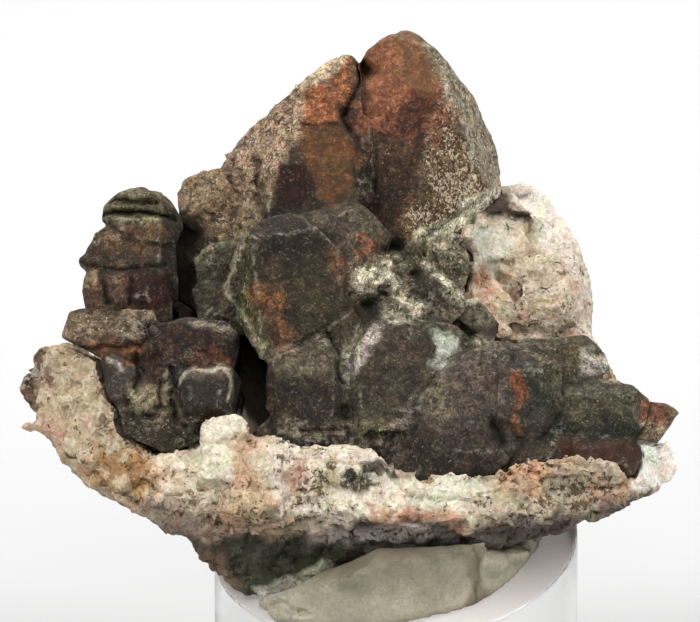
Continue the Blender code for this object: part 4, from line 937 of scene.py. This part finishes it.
# what lies behind the crystals, where the matrix gets painted shade and less relief
RECESS = (
    "-40,40 -30,52 -16,57 2,56 3,50 8.6,41 12,37 22,31 34,26 30,22 16,21 -3,21 -18,23.4 -22,26.4 -27,26.4"
    " -30,22 -37,25 -40,32"
)
MATRIX_PAINT = [
    spot("-53,37 -40,37 -33,22 -34,10 -53,16", (0.52, 0.41, 0.28), 0.9, 1, 0.8, rust=0.28, speck=0.26,
         bare=0.5),
    spot("-42.4,21.6 -34.4,21.2 -33,16 -37,13.6 -43,17", (0.39, 0.21, 0.074), 0.85, 1.2, 1, rust=0.6,
         speck=0.14),
    spot("-54,36.6 -49.2,37 -48.4,31 -49.6,27.4 -54,27", (0.048, 0.019, 0.01), 0.85, 0.7, 0.7, speck=0.4),
    spot("-53,26 -46,25.6 -46,22 -53,22", (0.43, 0.26, 0.2), 0.7, 0.7),
    spot("-34.6,21.6 -27.4,21.6 -26,14 -33,12.8", (0.67, 0.57, 0.42), 0.85, 1, 0.8, bare=0.6, rust=0.1),
    spot("-28.6,27 -20.4,26.8 -21.4,22.6 -22.8,17 -28,16", (0.65, 0.59, 0.47), 0.97, 0.5, 0.3, bare=1,
         rust=0, speck=0.02),
    spot("-22.4,23 -17.8,22.6 -17.4,11 -25,11 -22.6,17", (0.53, 0.37, 0.24), 0.85, 0.8, 0.5, rust=0.5,
         speck=0.35, bare=0.2),
    spot("-18.6,22.4 -3,22.8 2,17 0,12 -18,12", (0.67, 0.59, 0.49), 0.85, 0.8, 0.8, rust=0.36, speck=0.42,
         bare=0.75),
    spot("-14,14.6 -3,14.4 -4,10.6 -14,10.8", (0.77, 0.68, 0.55), 0.75, 0.8, 0.8, bare=0.8, rust=0.15,
         speck=0.3),
    spot("-8,17 -5,19.2 -1,20.4 0.4,18.6 -2.6,15.6 -4.4,14.4 -7.4,14.8", (0.032, 0.03, 0.019), 0.93, 0.5,
         0.7, speck=0.7),
    spot("-1,18 12,18.4 13,13.6 0,13.4", (0.66, 0.64, 0.51), 0.9, 0.6, 0.5, bare=0.9, rust=0.05, speck=0.04),
    spot("-5,14 9,13.6 10,10.6 -4,10.8", (0.4, 0.24, 0.17), 0.9, 0.6, 0.6, rust=0.7, speck=0.2, bare=0.3),
    spot("10,15.8 20,15.6 20,11.4 10,10.8", (0.51, 0.43, 0.33), 0.8, 0.8, 0.8, rust=0.3, speck=0.3,
         bare=0.6),
    spot("15,19.6 22,19.6 22,15.6 15,15.4", (0.5, 0.36, 0.22), 0.85, 0.7, 0.7, rust=0.5, speck=0.3),
    spot("20.6,18 25,18.4 25,12 20.6,11.6", (0.14, 0.17, 0.12), 0.8, 0.8, 0.8, speck=0.55),
    spot("25,18 34,18 36,15 28,11.6 25,12", (0.45, 0.36, 0.25), 0.85, 0.8, 0.8, speck=0.42, rust=0.4),
    spot("18.6,16 33,17.6 35,15 28,12.6 20,11.8", (0.45, 0.38, 0.26), 0.6, 0.6, 0.8, speck=0.72, rust=0.45),
    spot("14.6,19.8 20.5,19.8 20.8,17.2 16,16.4", (0.6, 0.33, 0.2), 0.75, 0.5, 0.7, rust=0.7, speck=0.45),
    spot("27,16 33.4,17.6 33,14.8 28,13.8", (0.42, 0.22, 0.14), 0.6, 0.5, 0.8, rust=0.7, speck=0.6),
    spot("33,25 40,24 40,15.6 33,15.4", (0.83, 0.82, 0.77), 0.95, 0.6, bare=0.7, gloss=0.6, rust=0.05,
         speck=0.03),
    # wall
    spot("3,62 29,62 29,32 5,32", (0.49, 0.42, 0.32), 0.95, 0.6, bare=0.6, rust=0.4, speck=0.2),
    spot("13,47 29,47 29,33 13,33", (0.48, 0.4, 0.3), 0.85, 1.4, 0.8, bare=0.5, rust=0.4, speck=0.3),
    spot("14,62 24,62 27,50 21,50 17.6,55", (0.82, 0.76, 0.7), 0.85, 1.4, 0.8, bare=0.9, rust=0.1,
         speck=0.02),
    spot("23.6,54 29,52 29,34 25,35", (0.68, 0.59, 0.52), 0.7, 1.2, 0.8, rust=0.15),
    spot("8,46.4 14,46 14.6,37 8,37", (0.61, 0.4, 0.26), 0.75, 1.2, 1, rust=0.6, speck=0.16),
    spot("16.2,53 20.4,53 20.4,47.6 16.4,47", (0.54, 0.44, 0.32), 0.7, 0.9, 0.7, rust=0.3),
    spot("10.4,48 11,52.6 15.6,52.8 16.6,49.6 14.6,46 11.8,45.6", (0.52, 0.51, 0.42), 0.9, 0.9, 0.5,
         gloss=0.5, rust=0.05, speck=0.02, bare=0.2),
    spot("8.4,47 11.4,46.4 11.6,43.8 9,43", (0.27, 0.175, 0.11), 0.8, speck=0.4, bare=0.1, rust=0.4),
    # the brow over the wall: dark brown stone, partly painted shade under its overhang
    spot("9,54.4 11.4,57.2 15.4,57.4 16.4,55.4 19.2,53.4 16,53.4 12,53.6", (0.027, 0.014, 0.008), 0.97, 0.35,
         0.3, speck=0, rust=0.1, bare=0),
    spot("11.2,57.4 14,57.4 13.6,55.4 11.2,55.2", (0.014, 0.01, 0.009), 0.9, 0.3, 0.2),
    spot("16.2,54.4 18.8,54 19.2,53 16.2,53.2", (0.03, 0.018, 0.01), 0.9, 0.2, 0),
    spot("15,57 18.4,58.4 18.6,57.6 15.6,56.2", (0.075, 0.06, 0.045), 0.85, 0.3, 0.3),
    spot("14,36 26,38 28,34 14,32", (0.2, 0.17, 0.12), 0.6, 1, 0.8, speck=0.5),
    # dark underside and keel
    spot("-29,12 -13,12 -12,8.8 -16,8 -26,8", (0.2, 0.13, 0.08), 0.6, 0.8, 0.9, rust=0.3, speck=0.55,
         bare=0.2),
    spot(UNDERSIDE, (0.08, 0.064, 0.055), 0.97, 0.4, 0.6, rust=0, speck=0.3, bare=0),
    spot("2,10.6 8,9.6 9,8 0,8.4", (0.3, 0.26, 0.22), 0.7, 0.4, 0.6, speck=0.4),
    spot("10,11.4 22,12.2 36,16 34,13.4 26,10.4 20,8.6 10,8.4", (0.15, 0.12, 0.1), 0.75, 0.4, speck=0.5,
         bare=0.1),
    spot("-26,8.4 -17,8 -8,7.9 -4,7.5 -4.6,6.4 -8.6,5.4 -11,4 -20,0 -23.6,3", (0.026, 0.029, 0.014), 0.97,
         0.4, 0, gloss=0.3, speck=0.2, bare=0.06),
    spot("-31,10.6 -25.6,8.6 -22.4,3 -24,1", (0.17, 0.11, 0.072), 0.85, 0.6, 0.5),
    # this and the next patch: pale streaks on the keel's downward face, partly the stone's own, partly
    # painted light
    spot("-13,10 -8,10.2 -5.4,10.2 -5.6,8.6 -9,8.4 -12.4,8.4", (0.3, 0.25, 0.225), 0.8, 0.3, 0, speck=0.5,
         bare=0.15),
    spot("-5.6,10.2 -1,10.5 3.6,10.5 4,9.3 -1,8.6 -5,8.4", (0.5, 0.44, 0.4), 0.8, 0.3, 0, speck=0.5,
         bare=0.3),
    spot("-20.4,1.5 -17.6,-0.8 -13,1.9 -9.6,4.3 -8.6,5.4 -9.6,6 -11,5.2 -15.1,3.2", (0.6, 0.58, 0.47), 0.92,
         0.15, -0.2, speck=0.25),
    # pale streak on the keel's downward face, partly the stone's own, partly painted light
    spot("-12.2,9.2 -10.6,10 -8.8,9.6 -9,8.2 -11.6,8", (0.52, 0.46, 0.41), 0.8, 0.3, 0, speck=0.3),
    spot("-24,7.6 -18.4,7.6 -18.4,3.4 -22,2.4", (0.055, 0.053, 0.034), 0.7, 0.8, 0.6, speck=0.3),
    # darker clumps in the band and along its lower left rim
    spot("-20.6,12.6 -17,12.6 -16.6,10.4 -20.4,10.2", (0.2, 0.17, 0.1), 0.7, 0.4, 0.7, speck=0.5, bare=0.1),
    spot("-15.6,13 -11.4,13 -11.2,10.8 -15,10.6", (0.2, 0.17, 0.1), 0.7, 0.4, 0.7, speck=0.5, bare=0.1),
    spot("-15.2,19 -12,18.8 -12.4,15.4 -14.8,15.2", (0.36, 0.17, 0.11), 0.65, 0.4, 0.9, speck=0.6, rust=0.6,
         bare=0.1),
    spot("-11.8,19.2 -8.4,19.2 -8.4,16.4 -11.4,16", (0.33, 0.25, 0.12), 0.6, 0.4, 0.9, speck=0.6),
    spot("-41,16.6 -36.6,14.4 -31,12.4 -26.6,11 -27,8 -31,8.4 -38,12.6", (0.2, 0.155, 0.125), 0.75, 0.35,
         0.3, speck=0.4, bare=0.1),
]
MATRIX_CHIPS = [
    (BAND, 90, (2, 4.6), 31, 0.55),
    (BAND, 160, (1, 2.4), 34, 0.4),
    ("9,57 20,59 26,48 27,38 10,37", 90, (1.2, 3), 32, 0.5),
    ("9,53 13,53 13.5,42 9.5,42", 46, (1.4, 3.2), 36, 0.1),
    ("-53,36 -47,36 -48,30 -52,24", 24, (1.2, 3), 37, 0.3),
    ("-28,9 -6,9 -10,4 -20,2", 14, (2, 4.4), 33, 0.7),
]
MATRIX_LUMPS = [
    (11.3, 4.6, 49.6, 1.3, 2.6, 2.4, 71), (11, 3, 46.2, 1.3, 2.6, 2, 72),
    (11.9, 5.4, 52.4, 1.4, 2.2, 1.4, 73), (14.2, 0.6, 37.2, 2.2, 3.4, 1.5, 74),
    (10.2, 3.4, 50.6, 1.4, 2.8, 2.2, 78), (16.8, 6.6, 45, 2.5, 3, 3.3, 79),
    (17.6, 3.6, 39.6, 3, 2.9, 2.1, 80), (12, 1.8, 40, 2.6, 3.2, 2.4, 81),
]
# the brow's cracks, darkened as painted shade
MATRIX_GROOVES = [
    ("11.4,56.2 13.4,56", 0.8, 0.5),
    ("12.4,54 15.6,54 18.8,53.4", 0.4, 0.45),
]


def matrix_relief(stone, recess):
    """Broken, granular stone, and a wall folded like crumpled paper with brown in the folds."""
    p = stone.rest
    big = cells(p + 1.2 * columns(noise, p, 5, (82, 83, 84)), 5.2, 85)
    mid = cells(p + 0.6 * columns(noise, p, 2.4, (86, 87, 88)), 2.3, 89)
    small = cells(p, 1.15, 90)
    push = 1.0 * (big[2] - 0.5) + 0.9 * big[3] + 0.55 * (mid[2] - 0.5) + 0.7 * mid[3]
    push += 0.28 * (0.5 - small[0]) + 0.22 * fbm(p, 1.6, 2, 91)
    push -= 0.5 * smooth(0.22 - (big[1] - big[0]), 0, 0.22)
    wall = smooth(p[:, 2], 30, 34)
    calm = (1 - 0.75 * recess) * (1 - 0.66 * wall)
    calm *= 1 - 0.5 * smooth(stone.bare, 0.4, 0.9) * (1 - wall)
    under = np.clip(-stone.rest_n[:, 2], 0, 1)
    folds = np.abs(fbm(p * (0.7, 1.0, 1.4), 3.6, 4, 92))
    folds = np.minimum(folds, 0.05 + np.abs(fbm(p[:, [2, 0, 1]] * (0.8, 1.3, 1.0), 2.6, 4, 93)))
    fold = smooth(0.1 - folds, 0, 0.1) * wall * (1 - recess) * (1 - 0.7 * smooth(p[:, 2], 45, 51))
    stone.tint *= 1 - fold[:, None] * (0.16, 0.25, 0.34)
    stone.push(push * calm * (1 - 0.45 * under) - 0.15 - 0.3 * fold)


chips = chips_on("matrix", MATRIX_CHIPS) + lumps(MATRIX_LUMPS)
stone = Surface("matrix", MATRIX_VOXEL, chips, limit=MOST_TRIANGLES)
stone.start_paint((0.42, 0.33, 0.24), rust=0.35, speck=0.22, bare=0.35)
depth = stone.rest[:, 1]
weathered = smooth(fbm(stone.rest, 9, 3, 81), -0.3, 0.3)
stone.blend((0.33, 0.25, 0.17), smooth(depth, -6, 6) * weathered)
stone.paint(MATRIX_PAINT)
# painted shade on the matrix behind the crystals
recess = stone.region(RECESS, 0.5, 0.3)
recess *= smooth(depth, -19.5, -17.5) * (1 - smooth(depth, 9, 13))
stone.dark = np.maximum(stone.dark, recess * 0.95)
stone.relax(3, pull=0.6)
matrix_relief(stone, recess)
stone.grooves(MATRIX_GROOVES)
stone.store(matrix_skin(), "pale_matrix")

# ---- Putty ----

PUTTY_PAINT = [
    # painted shade and light: darker under the rock (first and fourth patch), lighter to the right and low
    # down
    spot("-30,12 9,12 11,6 4,4 -8,2 -30,6", (0.24, 0.215, 0.15), 0.9, 2.5, 0.8),
    spot("11,12 26,12 24,2 11,1", (0.36, 0.33, 0.245), 0.9, 1.2, 0.6),
    spot("-20,0.5 16,1.5 14,-8 -20,-8", (0.4, 0.365, 0.27), 0.9, 1.6, 0.8),
    spot("-9.5,9 8.5,10.4 8.8,7 1,5.8 -4,4 -8.8,2.6", (0.12, 0.1, 0.068), 0.85, 1.8, 0.6),
    spot("9.8,9 12.2,9 12,-3 9.4,-3", (0.17, 0.14, 0.09), 0.85, 0.4),
]
PUTTY_LUMPS = [
    (12.6, -15.2, 5.8, 3.2, 4.8, 2.6, 75), (15.6, -12, 7, 3.2, 3.8, 2, 76),
    (17.2, -9.2, 8.2, 2.4, 3.2, 1.4, 77), (-15.4, -17.6, -1.2, 2.2, 2.4, 1.5, 82),
    (-13, -19.2, -2.2, 2.6, 2.2, 1.2, 83),
]
CRACK, TORN = "10.4,8 11.2,4.6 10.7,1.6 10.4,-3", "10.6,8 11.2,4.6 10.7,1.6 10.4,-3"

putty = Surface("putty", PUTTY_VOXEL, lumps(PUTTY_LUMPS), sharp=False)
putty.start_paint((0.31, 0.28, 0.2))
putty.paint(PUTTY_PAINT)
putty.relax(5, pull=0.6)
p = putty.rest
top = smooth(putty.rest_n[:, 2], 0.1, 0.6)
torn = bell(segment_distance(p[:, 0], p[:, 2], points(TORN)), 0.6)
putty.push(0.42 - 0.9 * top + 0.4 * fbm(p, 9, 3, 95) + (0.08 + 0.35 * torn) * fbm(p, 1.6, 2, 96))
putty.grooves([(CRACK, 0.32, 0.5)], facing=-0.2)
putty.dark *= 0.3
putty.store(putty_skin(), "putty")

# ---- Stand ----

SLANT_FRONT, SLANT_RIGHT = math.radians(19), math.radians(4)
RIM, RIM_STEPS, FLAT_SHARE = 0.5 * MM, 3, 0.85
ROUND_STEPS = 288


def stand_round():
    """The round again, smooth all the way round, with polished rims."""
    slant = Matrix.Rotation(-SLANT_RIGHT, 3, "Y") @ Matrix.Rotation(SLANT_FRONT, 3, "X")
    up = slant @ Vector((0, 0, 1))
    turns = np.linspace(0, math.pi / 2, RIM_STEPS + 1)
    curve = [(1 - (1 - math.cos(t)) * RIM / STAND_RADIUS, (1 - math.sin(t)) * RIM) for t in turns]
    # share of the radius, height, and whether the height is from the foot or from the top
    rings = [(FLAT_SHARE, 0, False)] + [(share, height, False) for share, height in reversed(curve)]
    rings += [(share, -height, True) for share, height in curve] + [(FLAT_SHARE, 0, True)]
    bm = bmesh.new()
    made = []
    for share, height, from_top in rings:
        ring = []
        for k in range(ROUND_STEPS):
            x, y = (f(math.tau * k / ROUND_STEPS) * STAND_RADIUS * share for f in (math.sin, math.cos))
            z = STAND_HEIGHT - (up.x * x + up.y * y) / up.z + height if from_top else height
            ring.append(bm.verts.new((x, y, z)))
        made.append(ring)
    for low, high in zip(made, made[1:]):
        for k in range(ROUND_STEPS):
            bm.faces.new((low[k], high[k], high[k - 1], low[k - 1]))
    bm.faces.new(made[0])
    bm.faces.new(reversed(made[-1]))
    bmesh.ops.recalc_face_normals(bm, faces=bm.faces)
    mesh = bpy.data.meshes.new("acrylic_stand_surface")
    bm.to_mesh(mesh)
    bm.free()
    mesh.shade_smooth()
    mesh.materials.append(acrylic_skin())
    dress(add_object("acrylic_stand_surface", mesh), "acrylic_stand")


stand_round()

# ---- Stage ----

TARGET = TO_WORLD @ Vector((-6.44, 0, 40.46))
VIEW_DISTANCE, VIEW_WIDTH, SENSOR = 2.5, 0.098, 36
FLOOR_SIZE, FLOOR_PLACE = 12, (0, 3, -0.3 * MM)
LAMPS = {
    "left": ((-0.56, -0.38, 0.66), TARGET, 6.0, 0.45),
    "right": ((0.62, -0.30, 0.66), TARGET, 6.4, 0.45),
    "front": ((0.0, -0.95, 0.62), TARGET, 3.4, 0.5),
    "sweep": ((0, 1.0, 1.3), Vector((0, 0.9, 0)), 22.0, 1.0),
}

bpy.ops.mesh.primitive_grid_add(
    x_subdivisions=8, y_subdivisions=8, size=FLOOR_SIZE, location=FLOOR_PLACE
)
floor = bpy.context.object
floor.name = "floor"
floor.data.materials.append(floor_skin())


def look_along(made, place, direction):
    made.location = place
    made.rotation_euler = direction.to_track_quat("-Z", "Y").to_euler()


for name, (place, aim, power, size) in LAMPS.items():
    light = bpy.data.lights.new(name, "AREA")
    light.energy = power
    light.size = size
    look_along(add_object(name, light), place, aim - Vector(place))

scene = bpy.context.scene
scene.world = bpy.data.worlds.new("studio")
scene.world.use_nodes = True
background = scene.world.node_tree.nodes["Background"].inputs
background["Color"].default_value = (1, 1, 1, 1)
background["Strength"].default_value = 0.22

camera = bpy.data.cameras.new("camera")
camera.sensor_width = SENSOR
camera.lens = SENSOR * VIEW_DISTANCE / VIEW_WIDTH
camera.clip_start = 0.1
camera.clip_end = 30
scene.camera = add_object("camera", camera)
direction = Vector((0, math.cos(LEAN), -math.sin(LEAN)))
look_along(scene.camera, TARGET - direction * VIEW_DISTANCE, direction)
scene.view_settings.view_transform = "Standard"
scene.view_settings.look = "None"

bpy.context.view_layer.update()
